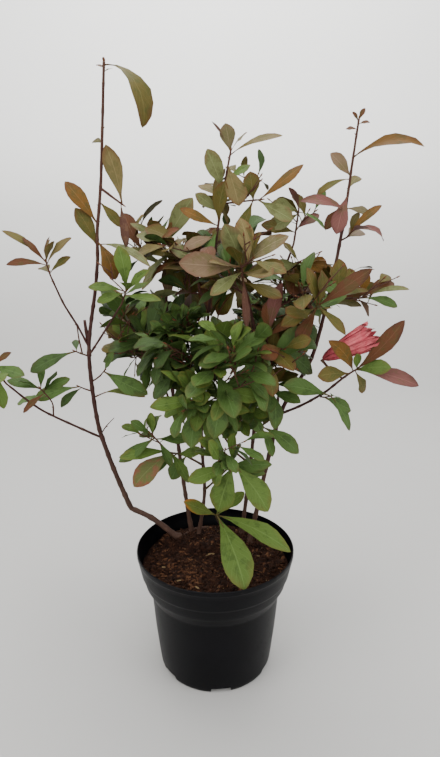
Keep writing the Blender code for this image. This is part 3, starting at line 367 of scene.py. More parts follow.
def coverLeaf(at, length, width, turn, tint):
    return dict(at=at, length=length, width=width, turn=turn, tint=tint)


def twig(at, clock, lean, length, leaves):
    return dict(at=at, clock=clock, lean=lean, length=length, leaves=leaves)


def inside(point, low, high):
    return all(low[k] <= point[k] <= high[k] for k in range(3))


class Spray:
    def __init__(self, name, limb, tints, seed, leaves=(), twigs=(), fill=0, size=46, grow=(0, 0), fromShare=0.55,
                 fine=(0, 0), fineSize=0.9, deep=None, fineTints="", cover=()):
        self.name, self.limb, self.tints, self.stalk = name, limb, tints, None
        self.leaves, self.twigs, self.cover = leaves, twigs, cover
        self.fill, self.size, self.grow, self.fromShare = fill, size, grow, fromShare
        self.fine, self.fineSize = fine, fineSize
        self.deep = deep  # fine leaves stay behind this depth
        self.fineTints = fineTints.split() or self.tints
        self.dice = random.Random(seed)
        self.tintDice = random.Random(1000 + seed)
        self.fineDice = random.Random(2000 + seed)
        self.laidLeaves, self.laidTwigs, self.reach = [], [], []
        spine = pointAlong(limb.path, 0.1), pointAlong(limb.path, 0.75)
        self.blades = [BVHTree.FromPolygons(*tubeSolid(spine, [limb.heads[-1]] * 2, [0.8] * 2, 3))]

    def tryLeaf(self, space, base, head, normal, length, width, bend, loose=False, tint=None, clear=None):
        clear = leafStyle["clear"] if clear is None else clear
        if space.touched(*leafSolid(base, head, normal, length + clear, width, bend, clear), ignore=(self.name,)):
            return False
        free = 1.0 - leafStyle["foot"]  # leaves may meet at their feet
        blade = BVHTree.FromPolygons(*leafSolid(base + head * length * leafStyle["foot"], head, normal,
                                                length * free, width, bend * free))
        if not loose and any(blade.overlap(other) for other in self.blades):
            return False
        self.blades.append(blade)
        solid = leafSolid(base, head, normal, length, width, bend)
        space.add(self.name, *solid)
        self.reach += solid[0]
        self.laidLeaves.append(dict(base=base, head=head, normal=normal, length=length, width=width, bend=bend,
                                    tint=tint or self.tintDice.choice(self.tints)))
        return True

    def tryTwig(self, space, start, head, length, radius, clear=None):
        clear = leafStyle["clear"] if clear is None else clear
        path = [start, start + head * length]
        heads = [head, head]
        room = tubeSolid([start + head * twigStyle["startRoom"], path[1]], heads, [radius + clear] * 2, 5)
        if space.touched(*room, ignore=(self.name, self.limb.name)):
            return None
        solid = tubeSolid(path, heads, [radius * twigStyle["rootSize"], radius * twigStyle["tipSize"]], 3)
        middle = [start + head * twigStyle["startFree"], path[1] - head * twigStyle["endFree"]]
        self.blades.append(BVHTree.FromPolygons(*tubeSolid(middle, heads, [radius, radius], 3)))
        space.add(self.name, *solid)
        self.reach += solid[0]
        self.laidTwigs.append((path, radius))
        return path, heads

    def placeGiven(self, space):
        for item in self.leaves:
            self.placeShown(space, self.limb.along(min(item["at"], leafStyle["lastLeaf"]))[0], item)
        for item in self.twigs:
            base, axis, radius = self.limb.along(min(item["at"], leafStyle["lastTwig"]))
            head = aim(item["clock"], item["lean"], 45)[0]
            thick = max(twigStyle["thinnest"], radius * twigStyle["shown"])
            laid = self.tryTwig(space, base, head, item["length"], thick)
            for inner in item["leaves"] if laid else ():
                self.placeShown(space, pointAlong(laid[0], min(inner["at"], leafStyle["lastOnTwig"])), inner)

    def placeShown(self, space, base, item):
        for clock, lean in leafStyle["nudges"]:
            head, normal = aim(item["clock"] + clock, item["lean"] + lean, item["turn"])
            if self.tryLeaf(space, base, head, normal, item["length"], item["width"], item["bend"], True,
                            item["tint"]):
                return

    def placeGrown(self, space):
        look, dice = growStyle, self.dice
        tips = [(self.limb.path, self.limb.heads[-1], look["tipRun"], self.fill)]
        count, each = self.grow
        for k in range(count):
            share = self.fromShare + (look["lastTwig"] - self.fromShare) * k / max(1, count - 1)
            base, axis, radius = self.limb.along(share)
            for attempt in range(look["twigTries"]):
                turn = look["twigTurn"]
                angle = leafStyle["golden"] * (k + attempt * look["retry"]) + dice.uniform(-turn, turn)
                head = outwards(axis, angle, dice.uniform(*look["twigTilt"]))
                length = self.size * dice.uniform(*look["twigLength"])
                thick = max(twigStyle["thinnest"], radius * twigStyle["grown"])
                laid = self.tryTwig(space, base, head, length, thick)
                if laid:
                    tips.append((laid[0], head, look["twigRun"], each))
                    break
        for path, axis, run, leaves in tips:
            start = dice.uniform(0, 360)
            whole = runLength(path)
            for k in range(leaves):
                share = k / max(1, leaves - 1)
                tilt = look["tilt"][0] + (look["tilt"][1] - look["tilt"][0]) * share
                length = self.size * (look["firstSize"] + look["sizeGain"] * share)
                length *= dice.uniform(*look["sizeSpread"])
                for attempt in range(look["leafTries"]):
                    angle = start + leafStyle["golden"] * k + attempt * look["leafRetry"]
                    base = pointAlong(path, max(look["lowest"], look["highest"] - run * share / whole))
                    head = outwards(axis, angle, tilt + dice.uniform(-look["tiltSpread"], look["tiltSpread"]))
                    normal = axis + Vector((0, 0, look["lift"]))
                    normal = (normal - head * normal.dot(head)).normalized()
                    bend = dice.uniform(*look["bend"])
                    if self.tryLeaf(space, base, head, normal, length, length * leafStyle["grownWidth"], bend):
                        break

    def placeFine(self, space, low, high):  # finer twigs and their leaves within the same reach
        twigs, each = self.fine
        look, dice = fineStyle, self.fineDice
        runs = [self.limb.path] + [path for path, radius in self.laidTwigs]
        grown = []
        for k in range(twigs):
            for attempt in range(look["twigTries"]):
                path = dice.choice(runs)
                base = pointAlong(path, dice.uniform(*look["base"]))
                axis = (path[-1] - path[-2]).normalized()
                angle = leafStyle["golden"] * (k + attempt) + dice.uniform(-look["twigTurn"], look["twigTurn"])
                head = outwards(axis, angle, dice.uniform(*look["twigTilt"]))
                head = (head + Vector((0, 0, look["rise"]))).normalized()
                length = self.size * dice.uniform(*look["twig"])
                if not inside(base + head * (length + look["twigRoom"]), low, high):
                    continue
                laid = self.tryTwig(space, base, head, length, look["radius"], look["clear"])
                if laid:
                    grown.append((laid[0], head))
                    runs.append(laid[0])
                    break
        older = [(path, (path[-1] - path[-2]).normalized()) for path in runs[:-len(grown) or None]]
        for path, axis in grown + older:
            start = dice.uniform(0, 360)
            whole = runLength(path)
            for k in range(each):
                share = k / max(1, each - 1)
                length = self.size * self.fineSize * dice.uniform(*look["leaf"])
                for attempt in range(look["leafTries"]):
                    run = look["run"][0] + look["run"][1] * share
                    base = pointAlong(path, max(look["base"][0], look["base"][1] - run / whole))
                    tilt = look["tilt"][0] + look["tilt"][1] * share
                    tilt += dice.uniform(-look["tiltSpread"], look["tiltSpread"])
                    head = outwards(axis, start + leafStyle["golden"] * k + attempt * look["retryTurn"], tilt)
                    face = Vector((dice.uniform(*look["faceSide"]), dice.uniform(*look["faceFront"]), look["lift"]))
                    face += axis * look["along"]
                    face = (face - head * face.dot(head)).normalized()
                    if self.deep is not None and (base + head * length * look["depthAt"]).y < self.deep:
                        continue
                    if inside(base + head * length, low, high) and self.tryLeaf(
                            space, base, head, face, length, length * dice.uniform(*look["width"]),
                            dice.uniform(*look["bend"]), tint=self.tintDice.choice(self.fineTints),
                            clear=look["clear"]):
                        break
        for item in self.cover:
            self.placeCover(space, item, low, high)

    def placeCover(self, space, item, low, high):  # a leaf that closes a gap, on whichever run has room for it
        wanted = Vector(item["at"])
        runs = [self.limb.path] + [path for path, radius in self.laidTwigs]
        spots = [pointAlong(path, share) for path in runs for share in coverStyle["shares"]]
        spots.sort(key=lambda spot: (spot - wanted).length)
        for base in spots[:coverStyle["spots"]]:
            head = wanted - base
            length = min(max(head.length * coverStyle["past"], item["length"]), coverStyle["longest"])
            head.normalize()
            for turn in coverStyle["turns"]:
                lift = math.radians(item["turn"] + turn)
                normal = Vector((0.0, -math.sin(lift), math.cos(lift)))
                normal = (normal - head * normal.dot(head)).normalized()
                if inside(base + head * length, low, high) and self.tryLeaf(
                        space, base, head, normal, length, item["width"], coverStyle["bend"], True, item["tint"],
                        fineStyle["clear"]):
                    return


def layLimbs(space):
    limbs = {}
    foot = ground["top"] + ground["rise"] + gap

    def stem(name, points, radius, endRadius, parent=None, flare=True, sides=limbStyle["stemSides"], step=None):
        limb = Limb(name, points, radius, endRadius, sides, parent, flare, step)
        space.add(name, *limb.solid)
        limbs[name] = limb

    def bough(name, parent, height, points, radius, endRadius):
        stem(name, points, radius, endRadius, (limbs[parent], height), False, limbStyle["boughSides"])

    stem("stem_left_foot", [(-46, 39, foot), (-60, 43, 150), (-84, 50, 165), (-106, 56, 173)], 3.6, 3.3,
         step=limbStyle["shortStep"])
    stem("stem_left_lower", [(-121, 54, 206), (-133, 51, 245), (-142, 48, 280)], 3.3, 2.7,
         (limbs["stem_left_foot"], None), False)
    stem("stem_left_upper", [(-147, 44, 320), (-148, 36, 391), (-134, 24, 462), (-129, 19, 492)], 2.6, 1.9,
         (limbs["stem_left_lower"], None), False)
    stem("stem_back_left", [(-32, 58, foot), (-44, 68, 223), (-52, 75, 297), (-58, 72, 400), (-59, 70, 466)],
         2.8, 1.7)
    stem("stem_centre", [(-22, 50, foot), (-14, 48, 202), (-16, 45, 249), (-17, 40, 313), (-12, 35, 385),
                         (-6, 30, 450), (1, 26, 512)], 2.3, 1.5)
    stem("stem_front", [(34, 52, foot), (45, 49, 249), (49, 36, 336), (47, 10, 400), (37, -12, 452)], 2.6, 1.6)
    stem("stem_right", [(44, 34, foot), (66, 43, 251), (82, 40, 318), (107, 35, 367), (118, 32, 400),
                        (131, 22, 476), (139, 16, 540)], 3.0, 1.7)
    stem("stem_low_front", [(12, 38, foot), (9, 27, 160), (3, 9, 184)], 1.7, 1.3,
         step=limbStyle["shortStep"])
    bough("bough_left_low", "stem_left_lower", 276, [(-166, 38, 293), (-206, 20, 323), (-234, 6, 355)], 1.5, 1.1)
    bough("bough_left_middle", "stem_left_upper", 394, [(-158, 29, 421), (-169, 19, 447), (-178, 11, 476)],
          1.3, 1.0)
    bough("bough_left_inner", "stem_left_upper", 384, [(-128, 21, 412), (-103, 0, 447)], 1.3, 1.0)
    bough("bough_right_centre", "stem_front", 392, [(60, 20, 428), (75, 36, 472), (88, 46, 508)], 1.6, 1.2)
    bough("bough_right_low", "stem_front", 360, [(66, 14, 384), (86, -6, 414), (100, -17, 437)], 1.5, 1.1)
    bough("bough_bloom", "stem_right", 310, [(103, 14, 331), (124, -8, 353), (136, -18, 368)], 1.6, 1.3)
    bough("bough_mid_front", "stem_front", 240, [(24, 38, 262), (8, 22, 292), (-6, 4, 322)], 1.4, 1.1)
    bough("bough_back_left", "stem_back_left", 292, [(-67, 100, 330), (-76, 124, 368)], 1.5, 1.1)
    bough("bough_back_centre", "stem_centre", 380, [(-13, 70, 412), (-12, 102, 448)], 1.3, 1.0)
    bough("bough_back_right", "stem_right", 296, [(79, 76, 334), (75, 110, 374)], 1.5, 1.1)
    return limbs


def laySprays(limbs, space):
    sprays = []

    def spray(name, parent, height, points, radius, tints, **rest):
        limb = Limb(name, points, radius, radius * limbStyle["sprayTaper"], limbStyle["spraySides"],
                    (limbs[parent], height), step=limbStyle["sprayStep"])
        space.add(name, *limb.solid)
        sprays.append(Spray(name, limb, tints.split(), **rest))

    spray("spray_left_tip", "stem_left_upper", None, [(-126, 15, 530), (-119, 10, 575), (-108, 1, 688)], 1.9,
          "olive brown", seed=11, leaves=[
              leaf(0.995, -58, 5, 84, 27, 118, 34, "olive"), leaf(0.995, 95, 0, 7, 4, 10, tint="brown"),
              leaf(0.97, 150, -40, 13, 5), leaf(0.95, 40, -50, 15, 5),
              leaf(0.21, 125, 8, 54, 19, 25, 62, "orange"), leaf(0.09, 116, 10, 46, 18, 20, 60, "olive"),
              leaf(0.12, -64, 14, 48, 22, 50, 55, "orange"), leaf(0.33, -52, -10, 34, 14, 20, 55, "olive"),
              leaf(0.1, -20, 22, 72, 13, 50, 40, "greyGreen"), leaf(0.62, 160, -55, 24, 9)],
          twigs=[twig(0.4, -36, 6, 29, [leaf(0.96, 103, 4, 60, 19, -15, 78, "tan"),
                                         leaf(0.9, -84, 6, 47, 10, 10, 60, "dryBrown")])])
    spray("spray_left_middle", "bough_left_middle", None, [(-182, 8, 494)], 1.0, "olive tan brown", seed=12,
          size=34, fill=2, fine=(0, 1), leaves=[
              leaf(0.98, 142, 5, 56, 10, 45, 45, "olive"), leaf(0.8, 178, 12, 44, 10, 55, 45, "brown"),
              leaf(0.9, 128, 10, 36, 9, tint="brown"), leaf(0.85, 43, 10, 44, 13, 45, 45, "tan"),
              leaf(0.3, 36, 5, 32, 10, 50, 45, "olive"), leaf(0.95, 84, -20, 30, 11, tint="brown")])
    spray("spray_left_inner", "bough_left_inner", None, [(-94, -10, 466)], 1.0, "bright", seed=13, size=34,
          fill=3, fine=(3, 3), deep=0, leaves=[
              leaf(0.95, 96, 5, 48, 18, 20, 65), leaf(0.8, 43, 10, 38, 15), leaf(0.85, 197, 15, 32, 13),
              leaf(0.9, 172, 5, 40, 13), leaf(0.7, -6, 15, 42, 13)])
    spray("spray_left_low", "bough_left_low", 312, [(-192, 22, 331), (-203, 18, 349)], 1.0, "mid", seed=14,
          size=38, fill=3, leaves=[
              leaf(0.95, 160, 12, 40, 15), leaf(0.8, 222, 20, 33, 13, tint="brown"),
              leaf(0.9, 25, 10, 40, 14), leaf(0.98, 95, -30, 32, 12)])
    spray("spray_left_far", "bough_left_low", None, [(-248, -8, 384)], 1.0, "mid bright", seed=15, size=36,
          fill=2, leaves=[
              leaf(0.95, -12, 15, 43, 16), leaf(0.75, -74, 20, 45, 16), leaf(0.9, 35, 5, 30, 9, tint="brown"),
              leaf(0.97, 150, 50, 44, 16), leaf(0.85, 185, -50, 44, 16), leaf(0.98, 105, -15, 34, 13)])
    spray("spur_left_high", "stem_left_upper", 383, [(-157, 33, 387), (-163, 29, 391)], 1.0, "dark", seed=16,
          leaves=[leaf(0.9, 203, 12, 58, 19, 45, 50), leaf(0.8, 120, -60, 24, 9)],
          twigs=[twig(0.3, 98, -3, 32, [])])
    spray("spur_left_low", "stem_left_upper", 338, [(-157, 40, 342), (-163, 37, 346)], 1.0, "mid dark", seed=17,
          leaves=[leaf(0.9, 194, 6, 56, 18, 30, 45, "mid"), leaf(0.7, 222, 25, 34, 13)])
    spray("spur_left_inner", "stem_left_upper", 350, [(-138, 37, 358), (-130, 32, 367)], 1.0, "mid", seed=18,
          leaves=[leaf(0.9, -25, 12, 60, 22, 25, 60, "mid"), leaf(0.95, 60, 20, 32, 12)])
    spray("spur_left_drop", "stem_left_upper", 330, [(-138, 41, 335), (-134, 39, 337)], 0.9, "mid", seed=47,
          leaves=[leaf(0.9, -2, 10, 56, 12, 62, 40, "orangeTip")])
    spray("spray_low_left", "stem_centre", 240, [(-38, 22, 264), (-55, -4, 280), (-74, -6, 303)], 1.4,
          "mid bright", seed=19, size=34, fine=(2, 3), leaves=[
              leaf(0.97, 143, 5, 30, 12), leaf(0.95, 90, 8, 30, 12), leaf(0.9, 5, 10, 43, 15),
              leaf(0.92, 212, 12, 50, 18), leaf(0.85, -62, 18, 32, 13), leaf(0.66, 178, 22, 60, 17, 20, 40),
              leaf(0.62, 221, 12, 60, 25, 20, 68, "reddened"), leaf(0.5, 208, 6, 48, 15, 20, 60),
              leaf(0.3, 236, 12, 34, 19, 20, 65, "mid"),
              leaf(0.64, -57, 20, 42, 16), leaf(0.5, 20, 25, 36, 14)])
    spray("spray_low_centre", "stem_low_front", None, [(1, -8, 198), (2, -22, 208)], 1.3, "bright greyGreen",
          seed=20, size=40, leaves=[
              leaf(0.97, -62, 42, 90, 37, 22, 60, "bright"), leaf(0.9, -24, 10, 97, 26, 35, 40, "bright"),
              leaf(0.95, 72, 8, 54, 19, tint="bright"), leaf(0.85, 148, 14, 46, 17, tint="orangeTip"),
              leaf(0.7, 35, -20, 44, 16)])
    spray("spray_low_right", "stem_centre", 205, [(-2, 28, 226), (12, -10, 258), (21, -46, 283)], 1.4,
          "bright mid", seed=21, size=40, fill=2, fine=(4, 3), leaves=[
              leaf(0.96, 88, 10, 40, 15), leaf(0.9, 197, 10, 52, 19), leaf(0.97, -52, 16, 64, 28, 20, 65, "bright"),
              leaf(0.88, 6, 10, 46, 15), leaf(0.96, -107, 5, 58, 30, 20, 64, "bright"),
              leaf(0.99, 140, 20, 28, 11)])
    spray("spray_mid_centre", "bough_mid_front", None, [(-12, -20, 342), (-17, -38, 354)], 1.0, "bright bright mid",
          seed=22, size=42, fill=4, fine=(7, 4), leaves=[
              leaf(0.97, 186, 12, 54, 18), leaf(0.95, -10, 12, 56, 18), leaf(0.85, 236, 18, 26, 11),
              leaf(0.8, -76, 18, 46, 17), leaf(0.98, 120, 20, 42, 15)])
    spray("spray_mid_right", "stem_front", 296, [(40, 18, 318), (34, -8, 336)], 1.1, "bright mid", seed=23,
          size=36, fill=4, fine=(7, 4), leaves=[
              leaf(0.96, 225, 15, 34, 13), leaf(0.9, -58, 15, 36, 15), leaf(0.85, 20, 12, 38, 14),
              leaf(0.97, 150, 12, 32, 13)])
    spray("spur_centre_right", "stem_front", 282, [(53, 38, 292), (57, 28, 298)], 1.0, "mid olive", seed=24,
          leaves=[leaf(0.95, -34, 14, 54, 20, 25, 55, "mid"), leaf(0.8, -68, 20, 38, 15),
                  leaf(0.97, 70, 20, 30, 12)])
    spray("spray_back_left_top", "stem_back_left", None, [(-59, 70, 485), (-60, 69, 508)], 1.7,
          "olive greyGreen greyGreen mid", seed=25, size=48, fill=1, grow=(1, 2), fromShare=0.5, fine=(5, 3), deep=76,
          fineTints="olive mid dark brown", leaves=[
              leaf(0.97, 58, 5, 66, 25, 25, 60, "greyGreen"), leaf(0.9, 142, 5, 50, 13, 35, 45, "greyGreen"),
              leaf(0.4, 152, 12, 50, 13, 35, 45, "greyGreen"), leaf(0.8, -86, 14, 50, 18, 20, 60, "pinkBeige"),
              leaf(0.95, 70, 22, 34, 13, 20, 55, "orange"), leaf(0.5, 227, 12, 42, 15)])
    spray("spray_mid_left", "stem_back_left", 360, [(-76, 60, 382), (-92, 50, 402)], 1.2, "mid bright dark",
          seed=26, size=50, fill=7, grow=(3, 4), fromShare=0.4, fine=(16, 4), deep=64, fineTints="mid dark olive")
    spray("spray_tuft", "stem_centre", 378, [(-26, 22, 400), (-40, 12, 422)], 1.1, "dark mid mid", seed=27,
          size=28, fill=8, grow=(4, 5), fromShare=0.3, fine=(24, 5))
    spray("spray_mid_dark", "stem_centre", 345, [(-20, 16, 368), (-27, 0, 386)], 1.1, "dark mid", seed=28,
          size=48, fill=6, grow=(3, 3), fromShare=0.35, fine=(20, 4), fineSize=0.8)
    spray("spray_mid_front", "stem_centre", 320, [(-4, 10, 346), (0, -30, 378), (1, -46, 392)], 1.2,
          "mid bright mid", seed=29, size=50, fill=6, grow=(3, 3), fromShare=0.5, fine=(12, 4), fineSize=0.8)
    spray("spray_centre_top", "stem_centre", None, [(8, 23, 560), (17, 20, 608)], 1.5, "beige tan greyGreen",
          seed=30, size=36, fill=1, fine=(7, 3), deep=42, fineTints="olive tan dark", fineSize=0.8, leaves=[
              leaf(0.98, 101, 4, 29, 17, 20, 70, "beige"), leaf(0.95, 19, 5, 60, 12, 50, 40, "tan"),
              leaf(0.985, 124, 6, 36, 5, 20, 40, "dryBrown"), leaf(0.6, 114, 10, 44, 20, 15, 70, "greyGreen"),
              leaf(0.84, -74, 14, 44, 25, 20, 75, "tan"), leaf(0.7, 30, -15, 32, 11, 20, 60, "bright"),
              leaf(0.2, 156, 12, 46, 13, 25, 55, "orange"), leaf(0.34, 143, 8, 34, 14, 25, 60, "greyGreen"),
              leaf(0.24, 80, 20, 46, 18, 15, 72, "olive"), leaf(0.18, -28, 15, 40, 16, tint="olive"),
              leaf(0.16, 246, 14, 36, 15, tint="mid"), leaf(0.08, 200, 12, 40, 16, 20, 60, "pinkBeige")],
          twigs=[twig(0.44, 6, 2, 43, [leaf(0.96, 38, 5, 58, 15, 25, 45, "orange"),
                                       leaf(0.8, 98, 10, 30, 20, 15, 70, "olive"),
                                       leaf(0.92, -30, 14, 44, 20, 20, 62, "greyGreen"),
                                       leaf(0.8, -108, 10, 48, 18, 20, 62, "olive")]),
                 twig(0.35, 70, -60, 30, [leaf(0.96, 60, -50, 42, 16), leaf(0.9, 150, -30, 40, 15),
                                          leaf(0.85, 10, -50, 40, 15)])])
    spray("spray_front_top", "stem_front", None, [(30, -26, 476), (27, -34, 494)], 1.5, "olive greyGreen tan olive",
          seed=31, size=46, fill=5, grow=(2, 3), fromShare=0.2, fine=(10, 4), deep=-20,
          fineTints="olive dark brown mid", cover=[
              coverLeaf((11, -8, 451), 36, 19, 55, "olive"), coverLeaf((14, -12, 443), 34, 18, 60, "greyGreen"),
              coverLeaf((6, -4, 456), 34, 17, 50, "dark")], leaves=[
              leaf(0.97, 176, 10, 64, 26, 20, 62, "pinkBeige"), leaf(0.95, 34, 8, 57, 18, 30, 50, "beige"),
              leaf(0.9, 112, 12, 50, 22, 20, 68, "greyGreen"), leaf(0.72, -86, 18, 56, 12, 15, 50, "dryBrown"),
              leaf(0.85, 215, 20, 42, 18, 20, 55, "greyGreen"), leaf(0.6, -20, 20, 44, 18, tint="olive"),
              leaf(0.8, 14, 12, 44, 19, 20, 55, "olive")])
    spray("spray_right_centre", "bough_right_centre", None, [(94, 49, 548)], 1.2, "olive mid olive purple", seed=32,
          size=40, fill=1, fine=(5, 3), deep=52, fineTints="olive mid brown", leaves=[
              leaf(0.96, -34, 6, 40, 9, 65, 40, "mid"), leaf(0.97, 168, 8, 34, 19, 15, 65, "greyGreen"),
              leaf(0.9, 205, 10, 38, 20, 20, 62, "greyGreen"), leaf(0.4, 168, 12, 42, 17, tint="olive"),
              leaf(0.5, 30, -20, 34, 13)])
    spray("spray_right_inner_top", "bough_right_centre", 478, [(88, 26, 487), (93, 18, 493)], 1.0,
          "orange brown olive", seed=33, size=36, fill=3, fine=(6, 3), deep=34, fineTints="olive brown dark", leaves=[
              leaf(0.95, -6, 12, 32, 18, 50, 58, "orange"), leaf(0.9, 188, 15, 30, 17, 20, 62, "greyGreen"),
              leaf(0.97, 130, -15, 30, 12)])
    spray("spray_right_low", "bough_right_low", None, [(108, -26, 452)], 1.0, "olive olive brown mid", seed=34,
          size=44, fill=4, grow=(1, 3), fine=(8, 4), deep=-12, fineTints="olive dark brown", leaves=[
              leaf(0.95, -45, 14, 42, 17, tint="olive"), leaf(0.9, 242, 14, 46, 17, 20, 60, "brown"),
              leaf(0.97, 37, 8, 66, 17, 20, 52, "brown"), leaf(0.85, 205, 14, 44, 17), leaf(0.97, 110, 12, 44, 17)])
    spray("spray_right_middle", "stem_right", 440, [(133, 14, 450), (136, 8, 456)], 1.1, "olive brown", seed=35,
          size=40, fill=2, fine=(4, 3), deep=14, fineTints="olive brown", leaves=[
              leaf(0.95, 94, 10, 44, 20, 20, 65, "olive"), leaf(0.8, 20, 12, 34, 12, 25, 50, "brown")],
          twigs=[twig(0.9, 2, 4, 30, [leaf(0.96, 11, 2, 52, 9, 72, 35, "greyGreen"),
                                      leaf(0.9, -14, 10, 40, 13, 60, 45, "mid"),
                                      leaf(0.8, 74, 8, 28, 12, tint="orange"),
                                      leaf(0.7, -50, -30, 34, 13)])])
    spray("spray_right_upper", "stem_right", 516, [(143, 15, 520), (146, 12, 525)], 1.0, "pinkBeige purple",
          seed=36, size=38, fill=2, leaves=[
              leaf(0.95, -14, 6, 44, 16, 130, 35, "purple"), leaf(0.3, 45, 12, 50, 11, 55, 40, "orange"),
              leaf(0.9, 66, -20, 26, 10, tint="olive")])
    spray("spray_right_tip", "stem_right", None, [(143, 13, 590), (147, 10, 637)], 1.6, "olive beige", seed=37,
          size=36, leaves=[
              leaf(0.62, 8, 6, 78, 18, 84, 52, "orange"), leaf(0.985, 65, 10, 13, 6, tint="brown"),
              leaf(0.97, 125, 0, 12, 6, tint="brown"), leaf(0.95, 10, -10, 13, 6, tint="brown"),
              leaf(0.9, 175, -20, 12, 6, tint="brown"), leaf(0.43, 136, 8, 33, 17, 30, 62, "pinkBeige"),
              leaf(0.4, 205, 4, 42, 9, 75, 40, "olive"), leaf(0.25, 254, 12, 44, 18, 15, 62, "purple"),
              leaf(0.06, 168, 14, 58, 14, 75, 50, "purple"), leaf(0.3, 40, -50, 34, 13),
              leaf(0.1, -10, -40, 38, 14), leaf(0.14, 232, -10, 34, 14, tint="brown")])
    spray("spray_bloom", "bough_bloom", None, [(146, -25, 379), (152, -28, 384)], 1.3, "olive bright", seed=38,
          size=36, leaves=[
              leaf(0.97, 54, 16, 74, 18, 30, 62, "brown"), leaf(0.96, -12, 14, 68, 18, 35, 62, "purple"),
              leaf(0.9, 14, 30, 40, 17, 35, 60, "bright"), leaf(0.8, 130, 34, 66, 16, 20, 60, "orange"),
              leaf(0.6, 178, 22, 40, 18, 25, 60, "olive"), leaf(0.9, -60, -30, 40, 15),
              leaf(0.98, 100, 30, 24, 11, 30, 60, "bright")])
    spray("spray_right_skirt", "bough_bloom", 346, [(120, -20, 350), (126, -28, 354)], 1.0, "mid", seed=39,
          size=38, fill=2, leaves=[
              leaf(0.95, 164, 10, 56, 21), leaf(0.97, -60, 8, 46, 15, 60, 50)])
    spray("spray_right_inner", "stem_right", 328, [(70, 28, 350), (57, 24, 374)], 1.2, "mid mid olive", seed=40,
          size=46, fill=6, grow=(2, 3), fine=(12, 4), leaves=[
              leaf(0.97, 120, 16, 44, 17), leaf(0.95, -18, 16, 44, 17), leaf(0.9, 202, 14, 40, 16)])
    spray("spray_mid_upper", "stem_front", 372, [(54, 4, 392), (58, -16, 420)], 1.1, "olive mid olive brown dark",
          seed=41, size=48, fill=5, grow=(3, 3), fromShare=0.4, fine=(12, 4), deep=-4,
          fineTints="olive dark brown mid", fineSize=0.85, leaves=[leaf(0.95, 78, 10, 60, 17, 20, 60, "purple")])
    spray("spray_right_deep", "bough_right_centre", 440, [(80, 34, 446), (88, 44, 452)], 1.0, "olive mid",
          seed=42, size=46, fill=6, grow=(2, 3), fine=(16, 4), fineSize=0.85)
    spray("spray_upper_deep", "stem_centre", 436, [(-18, 42, 462), (-24, 50, 496)], 1.1, "tan olive greyGreen olive",
          seed=43, size=48, fill=7, grow=(4, 3), fromShare=0.3, fine=(32, 4), deep=26,
          fineTints="olive dark brown tan")
    spray("spray_back_left", "bough_back_left", None, [(-81, 136, 392)], 1.1, "mid dark olive", seed=44, size=50,
          fill=5, grow=(3, 3), fromShare=0.3, fine=(18, 4))
    spray("spray_back_centre", "bough_back_centre", None, [(-9, 120, 464)], 1.0, "mid olive tan", seed=45,
          size=48, fill=5, grow=(3, 3), fromShare=0.3, fine=(18, 4))
    spray("spray_back_right", "bough_back_right", None, [(72, 127, 396)], 1.1, "mid dark olive", seed=46,
          size=50, fill=5, grow=(3, 3), fromShare=0.3, fine=(18, 4))
    return sprays


def funnelSolid(start, end, widest, pleats):  # the room the bloom takes
    axis = (end - start).normalized()
    length = (end - start).length
    side = axis.cross(Vector((0, 0, 1))).normalized()
    other = axis.cross(side)
    profile = ((0.0, 0.12), (0.14, 0.46), (0.38, 0.80), (0.7, 1.0), (1.0, 0.95), (0.95, 0.76), (0.62, 0.40),
               (0.42, 0.12))
    verts, faces, count = [], [], pleats * 2
    for along, share in profile:
        for k in range(count):
            angle = math.tau * k / count
            radius = widest * share * (1.0 if k % 2 else 1.0 - 0.26 * share) * (1.0 + 0.18 * math.cos(2 * angle))
            ragged = length * 0.05 * math.sin(3.1 * k) * share
            verts.append(start + axis * (length * along + ragged)
                         + radius * (math.cos(angle) * side + 0.8 * math.sin(angle) * other))
    for i in range(len(profile) - 1):
        for k in range(count):
            n = (k + 1) % count
            a, b, c, d = i * count + k, (i + 1) * count + k, (i + 1) * count + n, i * count + n
            faces += [(a, b, c), (a, c, d)]
    return verts, faces


bloomPlace = dict(start=Vector((117.0, -18.0, 393.0)), end=Vector((170.0, -34.0, 424.0)), widest=17.0, pleats=7,
                  stalk=(Vector((127.0, -20.0, 380.0)), Vector((115.5, -17.5, 392.0))), stalkRadii=(1.1, 1.0, 1.6))


def layPlant():
    space = Space()
    for name in ("pot", "soil"):
        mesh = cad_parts[name].data
        space.add(name, [v.co / mm for v in mesh.vertices], [tuple(p.vertices) for p in mesh.polygons])
    limbs = layLimbs(space)
    sprays = laySprays(limbs, space)
    for spray in sprays:
        if spray.name == "spray_bloom":
            stalk = [spray.limb.along(0.2)[0], *bloomPlace["stalk"]]
            space.add(spray.name, *tubeSolid(stalk, tangents(stalk), bloomPlace["stalkRadii"], 4))
            space.add(spray.name, *funnelSolid(bloomPlace["start"], bloomPlace["end"], bloomPlace["widest"],
                                               bloomPlace["pleats"]))
            spray.stalk = stalk
    for spray in sprays:
        spray.placeGiven(space)
    for spray in sprays:
        spray.placeGrown(space)
    first = sum(len(s.laidLeaves) + len(s.laidTwigs) for s in sprays)
    for spray in sprays:
        low, high = reachOf(spray.reach)
        spray.placeFine(space, [v - fineStyle["reach"] for v in low], [v + fineStyle["reach"] for v in high])
    total = sum(len(s.laidLeaves) + len(s.laidTwigs) for s in sprays)
    print("plant laid out:", first, "leaves and twigs, then", total - first, "finer ones")
    return limbs, sprays


limbs, sprays = layPlant()


# pieces of the plant
def newObject(name, data):
    made = bpy.data.objects.new(name, data)
    bpy.context.scene.collection.objects.link(made)
    return made


def finalMesh(holder):  # the mesh of a curve or of an object with its modifiers
    return bpy.data.meshes.new_from_object(holder.evaluated_get(bpy.context.evaluated_depsgraph_get()))


